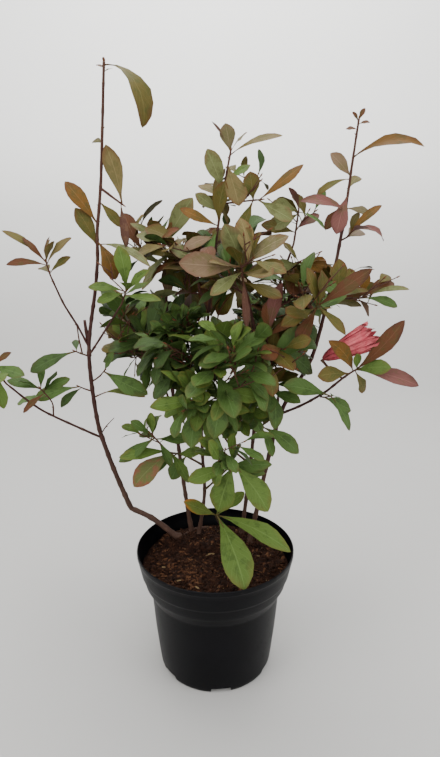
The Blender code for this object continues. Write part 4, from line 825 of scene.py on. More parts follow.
def addPiece(name, mesh, material, slotName, *nodes):
    mesh.materials.clear()
    mesh.materials.append(material)
    piece = newObject(name, mesh)
    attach(piece, "root")
    if nodes:
        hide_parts(*nodes)
    return piece


def meshFrom(name, bm, smooth=True):
    mesh = bpy.data.meshes.new(name)
    bm.to_mesh(mesh)
    bm.free()
    mesh.shade_smooth() if smooth else mesh.shade_flat()
    return mesh


def stampMesh(name, template, copies, smooth=True):  # many copies of one small shape as a single mesh
    shape = np.array([v.co for v in template.verts], float)
    corners = [[v.index for v in f.verts] for f in template.faces]
    loops = np.array([i for face in corners for i in face])
    sizes = np.array([len(face) for face in corners])
    count = len(copies)
    points = np.concatenate([copy(shape) for copy in copies])
    mesh = bpy.data.meshes.new(name)
    mesh.vertices.add(len(points))
    mesh.vertices.foreach_set("co", points.ravel() * mm)
    mesh.loops.add(len(loops) * count)
    offsets = np.repeat(np.arange(count) * len(shape), len(loops))
    mesh.loops.foreach_set("vertex_index", np.tile(loops, count) + offsets)
    mesh.polygons.add(len(sizes) * count)
    starts = np.concatenate([[0], np.cumsum(np.tile(sizes, count))[:-1]])
    mesh.polygons.foreach_set("loop_start", starts)
    mesh.update(calc_edges=True)
    mesh.validate()
    mesh.shade_smooth() if smooth else mesh.shade_flat()
    return mesh


def mapBlades(mesh, template, count):  # shares across and along each copy, for the materials
    points = np.array([v.co for v in template.verts], float)
    loops = np.array([v.index for f in template.faces for v in f.verts])
    corners = np.stack([(points[loops, 0] + 1) / 2, points[loops, 1]], axis=1)
    layer = mesh.uv_layers.new(name="bladeMap")
    layer.data.foreach_set("uv", np.tile(corners, (count, 1)).ravel())


# leaves
bladeLook = dict(across=4, along=9, petiole=0.95, petioleShare=0.05, footShare=0.05, point=0.02, blunt=1.62,
                 bluntSpread=0.2, fullness=0.78, ripple=0.10, rippleSpread=(0.3, 1.4), waves=15, curl=0.16,
                 curlSpread=(-0.3, 1.3), sweep=0.05, toneSpread=0.14, fold=(0.10, 0.34), twist=0.16, bendSpread=6)
leafSlots = dict(leaf_beige=("beige", "pinkBeige", "tan", "purple"),
                 leaf_bronze=("olive", "orange", "brown", "dryBrown"))
bladeRows = (0.0, 0.07, 0.17, 0.30, 0.45, 0.60, 0.74, 0.87, 0.96, 1.0)
bladeColumns = (-1.0, -0.55, 0.0, 0.55, 1.0)
leafTints = {  # main colour, second colour of the mottling, edge colour, share of the second
    "bright": ((72, 92, 38), (58, 76, 30), (84, 84, 36), 0.5),
    "mid": ((64, 86, 40), (52, 70, 32), (72, 74, 34), 0.5),
    # painted shade: a darker copy of the mid green, dealt to leaves deep in the crown, at the back and in gaps
    "dark": ((48, 66, 30), (38, 52, 24), (56, 54, 28), 0.5),
    "greyGreen": ((90, 94, 56), (74, 76, 42), (98, 76, 50), 0.5),
    "olive": ((80, 72, 32), (66, 68, 30), (86, 52, 30), 0.6),
    "orange": ((94, 66, 25), (74, 62, 27), (84, 46, 23), 0.6),
    "orangeTip": ((74, 84, 34), (64, 74, 30), (136, 74, 22), 0.3),
    "brown": ((82, 50, 30), (72, 58, 30), (62, 34, 26), 0.6),
    "dryBrown": ((76, 50, 40), (92, 66, 48), (54, 36, 30), 0.5),
    "tan": ((98, 86, 52), (84, 78, 44), (92, 62, 38), 0.6),
    "beige": ((100, 90, 64), (86, 82, 50), (98, 72, 50), 0.6),
    "pinkBeige": ((100, 82, 62), (88, 78, 50), (94, 62, 48), 0.6),
    "purple": ((98, 62, 56), (86, 66, 48), (78, 44, 42), 0.5),
    "reddened": ((88, 92, 50), (118, 76, 56), (118, 62, 50), 0.7)}


leafSkin = dict(blotch=90.0, fine=900.0, rim=160.0, veins=9.0, veinSlope=0.55, veinShow=0.22, midribShow=0.5,
                wornShow=0.75, rimShow=0.3, fineShow=0.18, rough=0.5, specular=0.12, bump=0.0005, bumpShare=0.7)


def leafMaterial(name):
    main, second, edge, share = (tint(*c) if isinstance(c, tuple) else c for c in leafTints[name])
    look, g = leafSkin, Graph("leaf_" + name)
    across, along = g.bladeShares()
    side = abs(across - 0.5)
    place = g.place()
    blotch = g.grain(place, look["blotch"], 3.0, 0.6)
    fine = g.grain(place, look["fine"], 2.0, 0.6)
    color = g.blend((blotch.ramp(0.62 - 0.25 * share, 0.62) * 0.9), main, second)
    worn = (along + side * 0.7 + blotch * 0.5).ramp(1.12, 1.5)
    rim = (side + (g.grain(place, look["rim"]) - 0.5) * 0.25).ramp(0.40, 0.52)
    color = g.blend(worn * look["wornShow"], color, edge)
    color = g.blend(rim * look["rimShow"], color, edge)
    veins = ((along - side * look["veinSlope"]) * (math.tau * look["veins"])).sine().ramp(0.86, 1.0)
    veins = veins * (1.0 - side.ramp(0.38, 0.48))
    midrib = 1.0 - side.ramp(0.012, 0.04)
    pale = tuple(min(1.0, c * 1.5 + 0.015) for c in main[:3]) + (1.0,)
    color = g.blend(veins * look["veinShow"], color, pale)
    color = g.blend(midrib * look["midribShow"], color, pale)
    tone = g.node("ShaderNodeAttribute", {"attribute_name": "tone"}, out="Fac")
    grey = g.node("ShaderNodeCombineColor", {}, {0: tone, 1: tone, 2: tone})
    color = g.blend(1.0, color, grey, "MULTIPLY")
    color = g.blend(fine.ramp(0.3, 0.7) * look["fineShow"], color, tuple(c * 0.6 for c in main[:3]) + (1.0,))
    height = midrib * 0.6 + veins * 0.3 - blotch * 0.4
    return g.finish(color=color, rough=look["rough"] + 0.14 * blotch,
                    normal=g.bump(height, look["bump"], look["bumpShare"]), specular=look["specular"])


def bladeTemplate():
    bm = bmesh.new()
    bmesh.ops.create_grid(bm, x_segments=bladeLook["across"], y_segments=bladeLook["along"], size=1.0)
    for v in bm.verts:  # grid place to share across and share along
        column = round((v.co.x + 1.0) / 2.0 * bladeLook["across"])
        row = round((v.co.y + 1.0) / 2.0 * bladeLook["along"])
        v.co = (bladeColumns[column], bladeRows[row], 0.0)
    bm.verts.index_update()
    return bm


def bladeCopy(item, dice):  # bends, folds and ripples the flat template into one leaf
    base, head, normal = (np.array(item[k]) for k in ("base", "head", "normal"))
    length, width = item["length"], item["width"]
    side = np.cross(head, normal)
    look = bladeLook
    bend = math.radians(item["bend"] + dice.uniform(-look["bendSpread"], look["bendSpread"]))
    beta = bend if abs(bend) > 0.02 else 0.02  # never quite flat, as the arc divides by it
    fold = dice.uniform(*look["fold"])
    curl = look["curl"] * dice.uniform(*look["curlSpread"])
    ripple = look["ripple"] * dice.uniform(*look["rippleSpread"])
    sweep, phase = look["sweep"] * dice.uniform(-1, 1), dice.uniform(0, 6.28)
    twist = dice.uniform(-look["twist"], look["twist"])
    blunt = look["blunt"] + dice.uniform(-look["bluntSpread"], look["bluntSpread"])

    def shape(points):
        c, t = points[:, 0], points[:, 1]
        s = np.clip((t - look["petioleShare"]) / (1 - look["petioleShare"]), 0, 1)
        half = width / 2 * np.clip(np.sin(math.pi * s ** blunt), 0, 1) ** look["fullness"]
        half = np.maximum(half, np.where(t < 0.5, min(look["petiole"], width * look["footShare"]), look["point"]))
        turn = beta * (0.5 - t)
        middle = (np.outer((math.sin(beta / 2) - np.sin(turn)), head)
                  + np.outer(np.cos(turn) - math.cos(beta / 2), normal)) * length / beta
        local = np.outer(np.cos(turn), normal) - np.outer(np.sin(turn), head)
        roll = twist * t * 2
        across = np.outer(np.cos(roll), side) + local * np.sin(roll)[:, None]
        up = local * np.cos(roll)[:, None] - np.outer(np.sin(roll), side)
        raised = half * (fold * np.abs(c) ** 1.2 - curl * c ** 4
                         + ripple * np.sin(t * look["waves"] + phase + c * 1.3) * np.abs(c) ** 1.5)
        bow = sweep * length * np.sin(math.pi * t)
        return base + middle + across * (c * half + bow)[:, None] + up * raised[:, None]
    return shape


# leaf stalks
stalkLook = dict(share=0.2, rings=2, radius=0.42, perLength=0.007, taper=0.5)


def stalkTemplate():
    bm = bmesh.new()
    bmesh.ops.create_cone(bm, cap_ends=True, segments=3, radius1=1.0, radius2=1.0, depth=1.0)
    upright = [e for e in bm.edges if abs(e.verts[0].co.z - e.verts[1].co.z) > 0.5]
    bmesh.ops.subdivide_edges(bm, edges=upright, cuts=stalkLook["rings"])
    for v in bm.verts:
        v.co.z += 0.5
    bm.verts.index_update()
    return bm


def stalkCopy(blade, length):  # a thin round stalk along the first part of a leaf's midrib
    def shape(points):
        t = points[:, 2] * stalkLook["share"]
        still = np.zeros_like(t)
        spine = blade(np.stack([still, t, still], axis=1))
        axis = blade(np.stack([still, t + 0.02, still], axis=1)) - spine
        axis /= np.linalg.norm(axis, axis=1)[:, None]
        side = blade(np.stack([still + 1.0, t, still], axis=1)) - spine
        side -= axis * (side * axis).sum(axis=1)[:, None]
        side /= np.linalg.norm(side, axis=1)[:, None]
        thick = (stalkLook["radius"] + stalkLook["perLength"] * length) * (1.0 - stalkLook["taper"] * points[:, 2])
        return spine + (side * points[:, 0:1] + np.cross(axis, side) * points[:, 1:2]) * thick[:, None]
    return shape


def buildLeaves():
    template, stalks, byTint = bladeTemplate(), [], {}
    for spray in sprays:
        for item in spray.laidLeaves:
            byTint.setdefault(item["tint"], []).append((spray.name, item))
    for name, items in sorted(byTint.items()):
        dice = random.Random(name)
        copies = [bladeCopy(item, dice) for owner, item in items]
        stalks += [stalkCopy(blade, item["length"]) for blade, (owner, item) in zip(copies, items)]
        mesh = stampMesh("leaves_" + name, template, copies)
        mapBlades(mesh, template, len(items))
        tones = [1.0 + dice.uniform(-1, 1) * bladeLook["toneSpread"] for item in items]
        tone = mesh.attributes.new("tone", "FLOAT", "POINT")
        tone.data.foreach_set("value", np.repeat(tones, len(template.verts)))
        slotName = next((slot for slot, tints in leafSlots.items() if name in tints), "leaf_green")
        addPiece("leaves_" + name, mesh, leafMaterial(name), slotName, *sorted({owner for owner, item in items}))
    template.free()
    template = stalkTemplate()
    addPiece("leaf_stalks", stampMesh("leaf_stalks", template, stalks), barkMaterial("stalk_skin"), "leaf_green")
    template.free()
    print("leaves:", {name: len(items) for name, items in sorted(byTint.items())})


# wood
surface = dict(moundEdge=1.35, moundFade=0.35, dip=2.0, dipFrom=82.0, dipOver=8.0, bumps=0.9, bumpWide=7.0,
               bumpDeep=6.0)


def soilHeight(x, y):
    spread = math.hypot((x - ground["centre"][0]) / ground["half"][0], (y - ground["centre"][1]) / ground["half"][1])
    rise = min(1.0, max(0.0, (surface["moundEdge"] - spread) / surface["moundFade"]))
    rise = rise * rise * (3 - 2 * rise)
    dip = surface["dip"] * max(0.0, (math.hypot(x, y) - surface["dipFrom"]) / surface["dipOver"])
    bumps = surface["bumps"] * math.sin(x / surface["bumpWide"] + 1.0) * math.cos(y / surface["bumpDeep"])
    bumps *= 1.0 - rise
    return ground["top"] + ground["rise"] * rise + bumps - dip * (1.0 - rise)


woodLook = dict(ringStep=4.0, relief=0.16, nodeEvery=(13.0, 24.0), nodeSwell=0.22, budLength=2.6, budWidth=0.9,
                firstNode=(6, 14), nodeReach=2.2, weld=0.00002, twigShare=0.6, twigSwell=0.8,
                kinkAt=0.55, kink=0.03, taper=(1.1, 0.95, 0.8),
                budTurn=48, budOut=0.7, budWidths=(0.6, 1.0), budLengths=(0.4, 0.75), endBud=1.2, endOut=0.4,
                lyingRoot=((-43, 48, 0.5), (-28, 62, 2.0), (-10, 72, 1.6), (6, 78, -1.5)),
                lyingRadii=[1.5, 1.9, 1.8, 1.4],
                extras=((((-147, 37, 383), (-149, 36, 405), (-151, 36, 426)), [1.7, 2.0, 1.7]),
                        (((-142, 48, 281), (-136, 50, 290), (-125, 49, 302)), [0.8, 0.65, 0.45])))
barkTints = {  # young wood, old wood, pale patches, depth of the relief
    "bark": ((58, 34, 30), (60, 42, 34), (90, 68, 56), 0.0006),
    "young_bark": ((66, 40, 32), (66, 56, 36), (92, 76, 54), 0.0004),
    "bud_scales": ((92, 54, 34), (84, 74, 40), (116, 92, 62), 0.0003),
    "stalk_skin": ((80, 54, 34), (80, 66, 36), (112, 96, 58), 0.0002)}


def finerPath(points, radii, step):
    fine = smoothPath(points, step)
    marks = np.cumsum([0.0] + [(b - a).length for a, b in zip(points, points[1:])])
    runs = np.cumsum([0.0] + [(b - a).length for a, b in zip(fine, fine[1:])])
    return fine, list(np.interp(runs * marks[-1] / runs[-1], marks, radii)), list(runs)


def woodMesh(name, tubes, resolution, relief, dice, swell):
    data = bpy.data.curves.new(name, "CURVE")
    data.dimensions = "3D"
    data.bevel_depth = mm
    data.bevel_resolution = resolution
    data.use_fill_caps = True
    data.twist_mode = "MINIMUM"
    nodes = []
    for points, radii in tubes:
        fine, sizes, runs = finerPath(points, radii, woodLook["ringStep"])
        marks, run = [], dice.uniform(*woodLook["firstNode"])
        while run < runs[-1]:
            marks.append(run)
            run += dice.uniform(*woodLook["nodeEvery"])
        line = data.splines.new("POLY")
        line.points.add(len(fine) - 1)
        for point, place, size, at in zip(line.points, fine, sizes, runs):
            lump = sum(math.exp(-((at - mark) / woodLook["nodeReach"]) ** 2) for mark in marks)
            point.co = (*(place * mm), 1.0)
            point.radius = size * (1.0 + swell * lump)
        for mark in marks:
            i = min(range(len(runs)), key=lambda k: abs(runs[k] - mark))
            if 0 < i < len(fine) - 1:
                nodes.append((fine[i], (fine[i + 1] - fine[i - 1]).normalized(), sizes[i]))
    holder = newObject(name, data)
    mesh = finalMesh(holder)
    bpy.data.objects.remove(holder)
    bm = bmesh.new()
    bm.from_mesh(mesh)
    bmesh.ops.remove_doubles(bm, verts=bm.verts, dist=woodLook["weld"])
    bmesh.ops.recalc_face_normals(bm, faces=bm.faces)
    for v in bm.verts:
        place = v.co / mm
        rough = noise.noise(Vector((place.x * 0.9, place.y * 0.9, place.z * 0.22)))
        v.co += v.normal * (relief * rough + relief * 0.6 * noise.noise(place * 2.1)) * mm
    bm.to_mesh(mesh)
    bm.free()
    mesh.shade_smooth()
    return mesh, nodes


def barkMaterial(name):
    young, old, pale, bumpDepth = (tint(*c) if isinstance(c, tuple) else c for c in barkTints[name])
    g = Graph(name)
    place = g.place()
    height = g.height(place)
    streak = g.grain(g.stretched(place, (700.0, 700.0, 90.0)), 1.0, 4.0, 0.65)
    patch = g.grain(place, 70.0, 4.0, 0.6)
    low = 1.0 - (height + (patch - 0.5) * 0.12).ramp(0.17, 0.34)
    color = g.blend(low, young, old)
    color = g.blend(streak.ramp(0.5, 0.72) * 0.5, color, tuple(c * 0.45 for c in young[:3]) + (1.0,))
    color = g.blend(patch.ramp(0.52, 0.72) * 0.4, color, pale)
    specks = g.grain(place, 1500.0, 1.0).ramp(0.66, 0.74)
    color = g.blend(specks * 0.3, color, pale)
    rough = 0.62 + 0.2 * streak
    return g.finish(color=color, rough=rough, normal=g.bump(streak + 0.6 * patch, bumpDepth, 0.9), specular=0.16)


def budTemplate():
    bm = bmesh.new()
    bmesh.ops.create_icosphere(bm, subdivisions=1, radius=1.0)
    for v in bm.verts:
        v.co.z += 0.5
        v.co.x *= 1.0 - 0.35 * max(0.0, v.co.z)
        v.co.y *= 1.0 - 0.35 * max(0.0, v.co.z)
    bm.verts.index_update()
    return bm


def budCopy(point, head, width, length):
    side = head.cross(Vector((0.3, 0.9, 0.2))).normalized()
    frameOf = np.array([side * width, head.cross(side) * width, head * length])
    where = np.array(point)
    return lambda shape: where + shape @ frameOf


def grownTube(limb):  # a limb with its hidden root in the one it grows from
    return [limb.root] + limb.path, [limb.radii[0]] + limb.radii


def buildWood():
    look, dice = woodLook, random.Random(5)
    stems = [grownTube(limb) for limb in limbs.values()]
    stems.append(([Vector((x, y, soilHeight(x, y) + lift)) for x, y, lift in look["lyingRoot"]], look["lyingRadii"]))
    stems += [([Vector(v) for v in points], radii) for points, radii in look["extras"]]
    mesh, marks = woodMesh("stems_and_boughs", stems, 4, look["relief"], dice, look["nodeSwell"])
    addPiece("stems_and_boughs", mesh, barkMaterial("bark"), "bark", *limbs)
    tubes = []
    for spray in sprays:
        tubes.append(grownTube(spray.limb))
        for path, radius in spray.laidTwigs:
            kink = Vector([dice.uniform(-1, 1) for k in range(3)]) * look["kink"] * (path[1] - path[0]).length
            middle = path[0].lerp(path[1], look["kinkAt"]) + kink
            tubes.append(([path[0], middle, path[1]], [radius * share for share in look["taper"]]))
        if spray.stalk:
            tubes.append((spray.stalk, list(bloomPlace["stalkRadii"])))
    mesh, twigMarks = woodMesh("twigs", tubes, 2, look["relief"] * look["twigShare"], dice,
                               look["nodeSwell"] * look["twigSwell"])
    addPiece("twigs", mesh, barkMaterial("young_bark"), "bark", *[spray.name for spray in sprays])
    copies = []
    for k, (point, head, radius) in enumerate(marks + twigMarks):  # side buds at the nodes
        out = outwards(head, leafStyle["golden"] * k, look["budTurn"])
        copies.append(budCopy(point + out * radius * look["budOut"], out,
                              look["budWidth"] * dice.uniform(*look["budWidths"]),
                              look["budLength"] * dice.uniform(*look["budLengths"])))
    for spray in sprays:  # end buds
        for path in [spray.limb.path] + [path for path, radius in spray.laidTwigs]:
            head = (path[-1] - path[-2]).normalized()
            copies.append(budCopy(path[-1] + head * look["endOut"], head, look["budWidth"] * look["endBud"],
                                  look["budLength"]))
    template = budTemplate()
    addPiece("buds", stampMesh("buds", template, copies), barkMaterial("bud_scales"), "bark")
    template.free()
    print("wood: %d limbs, %d twigs, %d buds" % (len(stems), len(tubes), len(copies)))


buildWood()
buildLeaves()


# pot
potShape = dict(radius=95.0, height=155.0, wall=1.3, floor=9.0, steps=144, notches=6, notchTurn=6.0,
                notchWidth=24.0, notchHeight=6.5, notchDepth=10.0, notchFoot=29.0, notchBeyond=12.0, notchIn=3.0,
                notchBevel=1.2, sharp=38)


def potOuter():
    r, h = potShape["radius"], potShape["height"]
    return [(r - 1.15, h), (r - 0.5, h - 0.15), (r - 0.05, h - 0.6), (r, h - 1.2), (r, h - 5.0), (r - 0.5, h - 6.0),
            (r - 1.1, h - 7.0), (r - 1.6, h - 12.0), (r - 4.5, 128.9), (r - 4.8, 127.4), (r - 5.7, 126.4),
            (r - 6.0, 125.0), (r - 8.6, 116.0), (r - 9.1, 113.9), (r - 10.1, 112.0), (r - 11.6, 109.6),
            (r - 15.6, 101.4), (r - 16.4, 99.8), (r - 16.8, 97.4), (r - 20.6, 50.0), (r - 24.0, 20.0),
            (r - 25.6, 7.5), (r - 26.1, 4.5), (r - 27.0, 1.6), (r - 28.2, 0.4), (r - 29.5, 0.0)]


def potInner():
    r, w, h = potShape["radius"], potShape["wall"], potShape["height"]
    return [(0.0, potShape["floor"]), (r - 27.0, potShape["floor"]), (r - 24.0 - w, 20.0), (r - 20.6 - w, 50.0),
            (r - 16.7 - w, 98.8), (r - 11.4 - w, 109.8), (r - 9.0 - w, 114.2), (r - 5.6 - w, 126.0),
            (r - 4.4 - w, 128.5), (r - 1.6 - w, 143.0), (r - w, 150.0), (r - w, 154.0),
            (r - w - 0.05, h - 0.3), (r - w + 0.12, h)]


def spun(profile, steps):  # turns an open profile round the pot's axis
    bm = bmesh.new()
    verts = [bm.verts.new((radius * mm, 0.0, height * mm)) for radius, height in profile]
    edges = [bm.edges.new(pair) for pair in zip(verts, verts[1:])]
    bmesh.ops.spin(bm, geom=verts + edges, axis=(0, 0, 1), cent=(0, 0, 0), angle=math.tau, steps=steps,
                   use_merge=True)
    bmesh.ops.remove_doubles(bm, verts=bm.verts, dist=0.00001)
    bmesh.ops.recalc_face_normals(bm, faces=bm.faces)
    return bm


def potMaterial():
    g = Graph("nursery_pot_plastic")
    place = g.place()
    height = g.height(place)
    cloud = g.grain(place, 22.0, 4.0, 0.6)
    grit = g.grain(place, 2600.0, 2.0, 0.6)
    scuff = g.grain(g.stretched(place, (60.0, 60.0, 700.0)), 1.0, 3.0, 0.7)
    dust = g.grain(place, 120.0, 5.0, 0.7).ramp(0.56, 0.8)
    marks = scuff.ramp(0.62, 0.78)
    color = g.blend(cloud.ramp(0.3, 0.7), tint(2, 2, 4), tint(5, 5, 8))
    color = g.blend(marks * 0.3, color, tint(30, 30, 31))
    color = g.blend(dust * (0.25 + 0.35 * height.ramp(0.118, 0.15)), color, tint(34, 27, 22))
    rough = 0.34 + 0.14 * cloud + 0.2 * dust + 0.1 * marks
    return g.finish(color=color, rough=rough, normal=g.bump(grit * 0.25 + scuff * 0.4 + cloud * 0.7, 0.00025, 0.55),
                    specular=0.11)


def buildPot():
    bm = spun(potInner() + potOuter() + [(0.0, 0.0)], potShape["steps"])
    pot = newObject("pot_shell", meshFrom("pot_shell", bm))
    cutter = bmesh.new()
    deep = potShape["notchDepth"] + potShape["notchBeyond"]
    middle = potShape["radius"] - potShape["notchFoot"] - potShape["notchDepth"] + deep / 2 + potShape["notchIn"]
    for k in range(potShape["notches"]):
        turn = Matrix.Rotation(math.radians(-90.0 + potShape["notchTurn"] + 360.0 / potShape["notches"] * k), 4, "Z")
        size = Matrix.Diagonal((deep * mm, potShape["notchWidth"] * mm, 2 * potShape["notchHeight"] * mm, 1.0))
        bmesh.ops.create_cube(cutter, size=1.0, matrix=turn @ Matrix.Translation((middle * mm, 0, 0)) @ size)
    bmesh.ops.bevel(cutter, geom=cutter.edges[:], offset=potShape["notchBevel"] * mm, segments=2, affect="EDGES",
                    profile=0.5, material=-1)
    tool = newObject("notch_tool", meshFrom("notch_tool", cutter, False))
    cut = pot.modifiers.new("notches", "BOOLEAN")
    cut.object, cut.operation, cut.solver = tool, "DIFFERENCE", "EXACT"
    shell = finalMesh(pot)
    for holder in (pot, tool):
        bpy.data.objects.remove(holder)
    shell.shade_smooth()
    shell.set_sharp_from_angle(angle=math.radians(potShape["sharp"]))
    addPiece("pot_shell", shell, potMaterial(), "pot_plastic", "pot")
    print("pot:", len(shell.polygons), "faces")


buildPot()


# soil
soilLook = dict(rings=44, steps=150, rough=1.5, lumps=0.16, crumbs=3200, chips=300, grit=130, heap=90, footHeap=150,
                frontChips=90, inset=4.4, bottom=7.0, flat=0.85, crumb=(0.5, 2.6, 2.4), crumbLong=(0.8, 1.4),
                crumbHigh=(0.6, 1.0), heapSize=(0.8, 2.1), heapOut=(0.7, 2.6), heapHigh=4.2, footSize=(0.9, 2.2),
                footOut=(-2.0, 7.5), footHigh=6.5,
                bigFlecks=((-10, 9, 6.5, 2.0), (-5, 12, 5.2, 1.8), (53, 7, 2.6, 1.8), (-62, -18, 3.4, 1.6),
                           (-42, -44, 3.8, 1.4), (-20, -58, 3.2, 1.3)))
soilTints = {  # wet, dry, fibres
    "potting_soil": ((22, 12, 9), (46, 27, 18), (80, 54, 38)),
    "soil_crumb": ((28, 16, 12), (56, 35, 24), (88, 62, 44)),
    "bark_chip": ((50, 29, 20), (92, 62, 42), (124, 94, 68)),
    "dry_fleck": ((98, 80, 56), (124, 104, 76), (146, 128, 100))}


def soilMaterial(name):
    wet, dry, fleck = (tint(*c) for c in soilTints[name])
    g = Graph(name)
    place = g.place()
    clump = g.grain(place, 130.0, 6.0, 0.7)
    fibre = g.grain(g.stretched(place, (900.0, 240.0, 600.0)), 1.0, 3.0, 0.65, 0.8)
    color = g.blend(clump.ramp(0.35, 0.66), wet, dry)
    color = g.blend(fibre.ramp(0.62, 0.76) * 0.5, color, fleck)
    # painted shade: the lowest parts of the clump pattern, which the bump also makes hollows, are darkened to near
    # black
    color = g.blend((1.0 - clump.ramp(0.2, 0.42)) * 0.7, color, tint(8, 5, 4))
    return g.finish(color=color, rough=0.82 + 0.12 * clump, normal=g.bump(clump + 0.5 * fibre, 0.0012, 0.9),
                    specular=0.08)


def crumbTemplate(flat):
    bm = bmesh.new()
    bmesh.ops.create_icosphere(bm, subdivisions=1, radius=1.0)
    for v in bm.verts:
        v.co *= 1.0 + 0.3 * noise.noise(v.co * 2.3)
        v.co.z *= flat
    bm.verts.index_update()
    return bm


def turnedCopy(point, sizes, dice):
    spin = Matrix.Rotation(dice.uniform(0, 6.28), 3, "Z") @ Matrix.Rotation(dice.gauss(0, 0.35), 3, "X") \
        @ Matrix.Rotation(dice.gauss(0, 0.35), 3, "Y") @ Matrix.Diagonal(sizes)
    turned = np.array(spin).T
    where = np.array(point)
    return lambda shape: where + shape @ turned


def buildSoil():
    look = soilLook
    edge = potShape["radius"] - look["inset"] - potShape["wall"] - gap
    profile = [(edge * k / look["rings"], ground["top"]) for k in range(look["rings"] + 1)]
    profile += [(radius - gap, height) for radius, height in reversed(potInner()[2:9])] + [(0.0, look["bottom"])]
    bm = spun(profile, look["steps"])
    for v in bm.verts:
        x, y, z = v.co / mm
        if z > ground["top"] - 0.5:
            fade = min(1.0, max(0.0, (edge - math.hypot(x, y)) / 3.0))
            lump = noise.fractal(Vector((x, y, 3.0)) * look["lumps"], 0.7, 2.1, 4) * look["rough"]
            v.co.z = (soilHeight(x, y) + lump * fade) * mm
    addPiece("soil_fill", meshFrom("soil_fill", bm), soilMaterial("potting_soil"), "soil", "soil")
    dice = random.Random(17)
    crumbs, chips, flecks = [], [], []

    def spots(count, low, high, reach=edge - 3.5):
        for k in range(count):
            radius, angle = reach * math.sqrt(dice.random()), dice.uniform(0, math.tau)
            x, y = radius * math.cos(angle), radius * math.sin(angle)
            yield x, y, soilHeight(x, y) + dice.uniform(low, high)

    def addCrumb(x, y, z, size):
        sizes = (size * dice.uniform(*look["crumbLong"]), size, size * dice.uniform(*look["crumbHigh"]))
        crumbs.append(turnedCopy((x, y, z), sizes, dice))

    smallest, spread, power = look["crumb"]
    for x, y, z in spots(look["crumbs"], -0.3, 0.9):
        addCrumb(x, y, z, smallest + spread * dice.random() ** power)
    near, far = look["heapOut"]
    for limb in limbs.values():
        foot = limb.path[0]
        if foot.z > ground["top"] + ground["rise"] + 6.0:
            continue
        for k in range(look["heap"]):  # heaped round the stem's foot
            out = limb.radii[0] * dice.uniform(near, far)
            turn = dice.uniform(0, math.tau)
            x, y = foot.x + out * math.cos(turn), foot.y + out * math.sin(turn)
            size = dice.uniform(*look["heapSize"])
            lift = dice.uniform(0.0, look["heapHigh"]) * (2.8 - out / limb.radii[0]) / 2.1
            addCrumb(x, y, soilHeight(x, y) + lift, size)
    foot = limbs["stem_left_foot"].path[0]
    for k in range(look["footHeap"]):  # against the slanting stem's end
        out = dice.uniform(*look["footOut"])
        x, y = foot.x + out, foot.y - 1.0 + dice.gauss(0.0, 2.6)
        size = dice.uniform(*look["footSize"])
        addCrumb(x, y, soilHeight(x, y) + dice.uniform(0.0, look["footHigh"] - 0.7 * max(0.0, out)), size)
    for x, y, z in spots(look["chips"], 0.2, 1.4):
        long = dice.uniform(1.6, 5.2)
        chips.append(turnedCopy((x, y, z), (long, long * dice.uniform(0.25, 0.5), 0.5), dice))
    for k in range(look["frontChips"]):  # more of them on the left in front
        x, y = dice.gauss(-32.0, 16.0), dice.gauss(-32.0, 14.0)
        if math.hypot(x, y) < edge - 5.0:
            long = dice.uniform(1.4, 3.2)
            chips.append(turnedCopy((x, y, soilHeight(x, y) + 1.2), (long, long * dice.uniform(0.4, 0.7), 0.6), dice))
    for x, y, z in spots(look["grit"], 0.4, 1.2):
        size = dice.uniform(0.3, 0.85)
        flecks.append(turnedCopy((x, y, z), (size, size * 0.8, size * 0.7), dice))
    for x, y, long, wide in look["bigFlecks"]:
        flecks.append(turnedCopy((x, y, soilHeight(x, y) + 1.6), (long, wide, 0.7), dice))
    template = crumbTemplate(look["flat"])
    for name, copies, material, smooth in (("soil_crumbs", crumbs, "soil_crumb", True),
                                           ("bark_chips", chips, "bark_chip", False),
                                           ("dry_flecks", flecks, "dry_fleck", False)):
        addPiece(name, stampMesh(name, template, copies, smooth), soilMaterial(material), "soil")
    template.free()
    print("soil: %d crumbs, %d chips, %d flecks" % (len(crumbs), len(chips), len(flecks)))


buildSoil()


# bloom: a half open, crumpled flower of narrow pleated petals
bloomLook = dict(petals=17, across=6, along=14, spread=16.5, flat=0.62, width=13.0, pleats=2.5,
                 pleatDepth=1.5, ruffle=1.6, outer=0.55, turn=0.382, innerSpread=0.45, innerLength=0.82,
                 outerLength=0.98)


def petalMaterial():
    g = Graph("petal_pink")
    across, along = g.bladeShares()
    place = g.place()
    cloud = g.grain(place, 160.0, 3.0, 0.6)
    lines = (across * (math.tau * 5.0) + cloud * 3.0).sine()
    color = g.blend(cloud.ramp(0.3, 0.7), tint(176, 66, 78), tint(196, 100, 104))
    # darker stripes across each petal: partly the petal's own streaks, partly painted shade of its folds
    color = g.blend(lines.ramp(0.2, 1.0) * 0.5, color, tint(112, 38, 48))
    color = g.blend(along.ramp(0.78, 1.05) * 0.5, color, tint(126, 54, 60))
    color = g.blend((1.0 - along.ramp(0.0, 0.3)) * 0.5, color, tint(126, 44, 50))
    veins = g.grain(g.stretched(place, (300.0, 300.0, 1500.0)), 1.0, 3.0)
    return g.finish(color=color, rough=0.5 + 0.15 * cloud, normal=g.bump(lines * 0.6 + veins, 0.0005, 0.7),
                    specular=0.15)


def petalTemplate():
    bm = bmesh.new()
    bmesh.ops.create_grid(bm, x_segments=bloomLook["across"], y_segments=bloomLook["along"], size=1.0)
    for v in bm.verts:
        v.co.y = (v.co.y + 1.0) / 2.0
    bm.verts.index_update()
    return bm


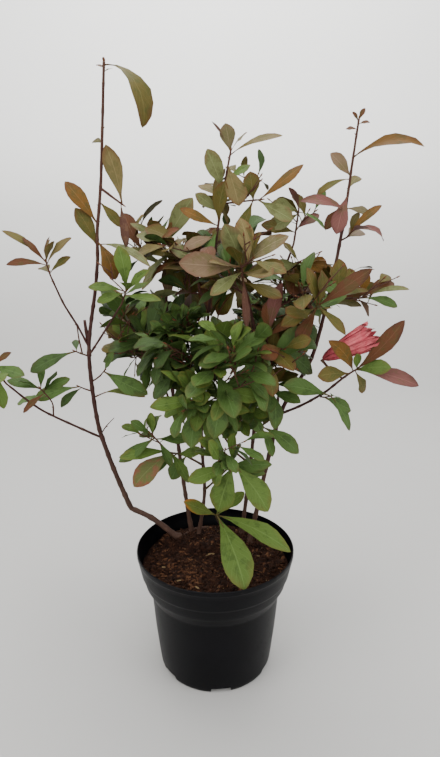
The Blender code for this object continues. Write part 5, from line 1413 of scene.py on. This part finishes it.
def petalCopy(k, dice):
    start, end = bloomPlace["start"], bloomPlace["end"]
    axis = (end - start).normalized()
    side = axis.cross(Vector((0, 0, 1))).normalized()  # away from the viewer
    other = axis.cross(side)
    inner = k >= bloomLook["petals"] * bloomLook["outer"]
    angle = math.tau * k * bloomLook["turn"] + dice.uniform(-0.2, 0.2)
    spread = bloomLook["spread"] * (bloomLook["innerSpread"] if inner else 1.0) * dice.uniform(0.8, 1.0)
    out = side * math.cos(angle) * bloomLook["flat"] + other * math.sin(angle)
    out = out.normalized() * (spread * math.hypot(math.cos(angle) * bloomLook["flat"], math.sin(angle)))
    tangent = axis.cross(out).normalized()
    normal = out.normalized()
    length = (end - start).length * bloomLook["innerLength" if inner else "outerLength"] * dice.uniform(0.9, 1.0)
    width, phase = bloomLook["width"] * dice.uniform(0.75, 1.1), dice.uniform(0, 6.28)
    a, o, tn, nm, s0 = (np.array(v) for v in (axis, out, tangent, normal, start))

    def shape(points):
        c, t = points[:, 0], points[:, 1]
        half = width / 2 * (0.22 + 0.78 * np.sin(np.clip(t * 1.25, 0, 1) * math.pi / 2) ** 1.1) \
            * (1 - 0.5 * np.clip((t - 0.86) / 0.14, 0, 1) ** 2)
        flare = 0.12 + 0.88 * t ** 0.55
        pleat = np.sin(c * math.pi * bloomLook["pleats"] + phase) * bloomLook["pleatDepth"] * np.clip(t * 1.5, 0.1, 1)
        ruffle = np.sin(c * 6 + t * 9 + phase) * bloomLook["ruffle"] * t ** 3
        lift = -0.18 * half * c ** 2
        ragged = 1.0 + 0.05 * np.sin(c * 5 + phase * 2) * t
        return (s0 + np.outer(t * length * ragged, a) + np.outer(flare, o) + np.outer(c * half, tn)
                + np.outer(pleat + ruffle + lift, nm))
    return shape


def buildBloom():
    template = petalTemplate()
    dice = random.Random(23)
    copies = [petalCopy(k, dice) for k in range(bloomLook["petals"])]
    mesh = stampMesh("bloom_petals", template, copies)
    mapBlades(mesh, template, len(copies))
    template.free()
    addPiece("bloom_petals", mesh, petalMaterial(), "leaf_beige", "spray_bloom")
    print("bloom:", len(copies), "petals")


buildBloom()


# room: floor sweeping up into a backdrop, soft lights, camera
# floor and wall are the two ends of a painted shade gradient on one pale paper
roomLook = dict(half=3.0, front=-3.0, back=1.75, top=3.0, curve=0.55, floor=(168, 167, 165), wall=(244, 244, 242))


def buildRoom():
    bm = bmesh.new()
    r, back, top = roomLook["curve"], roomLook["back"], roomLook["top"]
    line = [(roomLook["front"], 0.0), (back - r, 0.0)]
    line += [(back - r + r * math.sin(a), r - r * math.cos(a)) for a in (math.pi / 2 * k / 12 for k in range(1, 13))]
    line += [(back, top)]
    verts = [bm.verts.new((-roomLook["half"], y, z)) for y, z in line]
    edges = [bm.edges.new(pair) for pair in zip(verts, verts[1:])]
    strip = bmesh.ops.extrude_edge_only(bm, edges=edges)
    moved = [v for v in strip["geom"] if isinstance(v, bmesh.types.BMVert)]
    bmesh.ops.translate(bm, verts=moved, vec=(2 * roomLook["half"], 0, 0))
    bmesh.ops.recalc_face_normals(bm, faces=bm.faces)
    mesh = meshFrom("backdrop", bm)
    g = Graph("matt_paper")
    height = g.height(g.place())
    # painted shade: the paper is coloured darker from the top of the wall down to the floor, in place of the room's
    # falling light
    color = g.blend(height.ramp(0.0, 0.9), tint(*roomLook["floor"]), tint(*roomLook["wall"]))
    mesh.materials.append(g.finish(color=color, rough=0.9, specular=0.2))
    newObject("backdrop", mesh)


plantMiddle = (0.0, 0.0, 0.35)
lightLook = {  # place, what it points at, size, power, colour
    "light_top": ((0.0, -0.2, 2.0), plantMiddle, 1.6, 22.0, (1, 1, 1)),
    "light_left": ((-1.35, -0.9, 1.1), plantMiddle, 1.2, 20.0, (1.0, 0.99, 0.97)),
    "light_front": ((0.25, -1.9, 0.9), plantMiddle, 1.5, 22.0, (1, 1, 1)),
    "light_right": ((1.35, -0.7, 0.9), plantMiddle, 1.1, 13.0, (1, 1, 1)),
    "light_wall": ((0.0, 0.8, 2.3), (0.0, 1.75, 1.0), 1.6, 62.0, (1, 1, 1))}
skyLook = {"Color": (0.95, 0.95, 0.94, 1.0), "Strength": 0.9}


def buildLights():
    for name, (place, target, size, power, color) in lightLook.items():
        data = bpy.data.lights.new(name, "AREA")
        data.shape, data.size, data.energy, data.color = "SQUARE", size, power, color
        lamp = newObject(name, data)
        lamp.location = place
        lamp.rotation_euler = (Vector(target) - Vector(place)).to_track_quat("-Z", "Y").to_euler()
    world = bpy.data.worlds.new("soft_sky")
    world.use_nodes = True
    for name, value in skyLook.items():
        world.node_tree.nodes["Background"].inputs[name].default_value = value
    bpy.context.scene.world = world


cameraLook = dict(place=(0.0057, -0.634, 0.5415), tilt=15.48, lens=27.82, sensor=36.0)


def placeCamera():
    data = bpy.data.cameras.new("camera")
    data.sensor_width, data.lens = cameraLook["sensor"], cameraLook["lens"]
    camera = newObject("camera", data)
    camera.location = cameraLook["place"]
    camera.rotation_euler = (math.radians(90.0 - cameraLook["tilt"]), 0.0, 0.0)
    bpy.context.scene.camera = camera


buildRoom()
buildLights()
placeCamera()
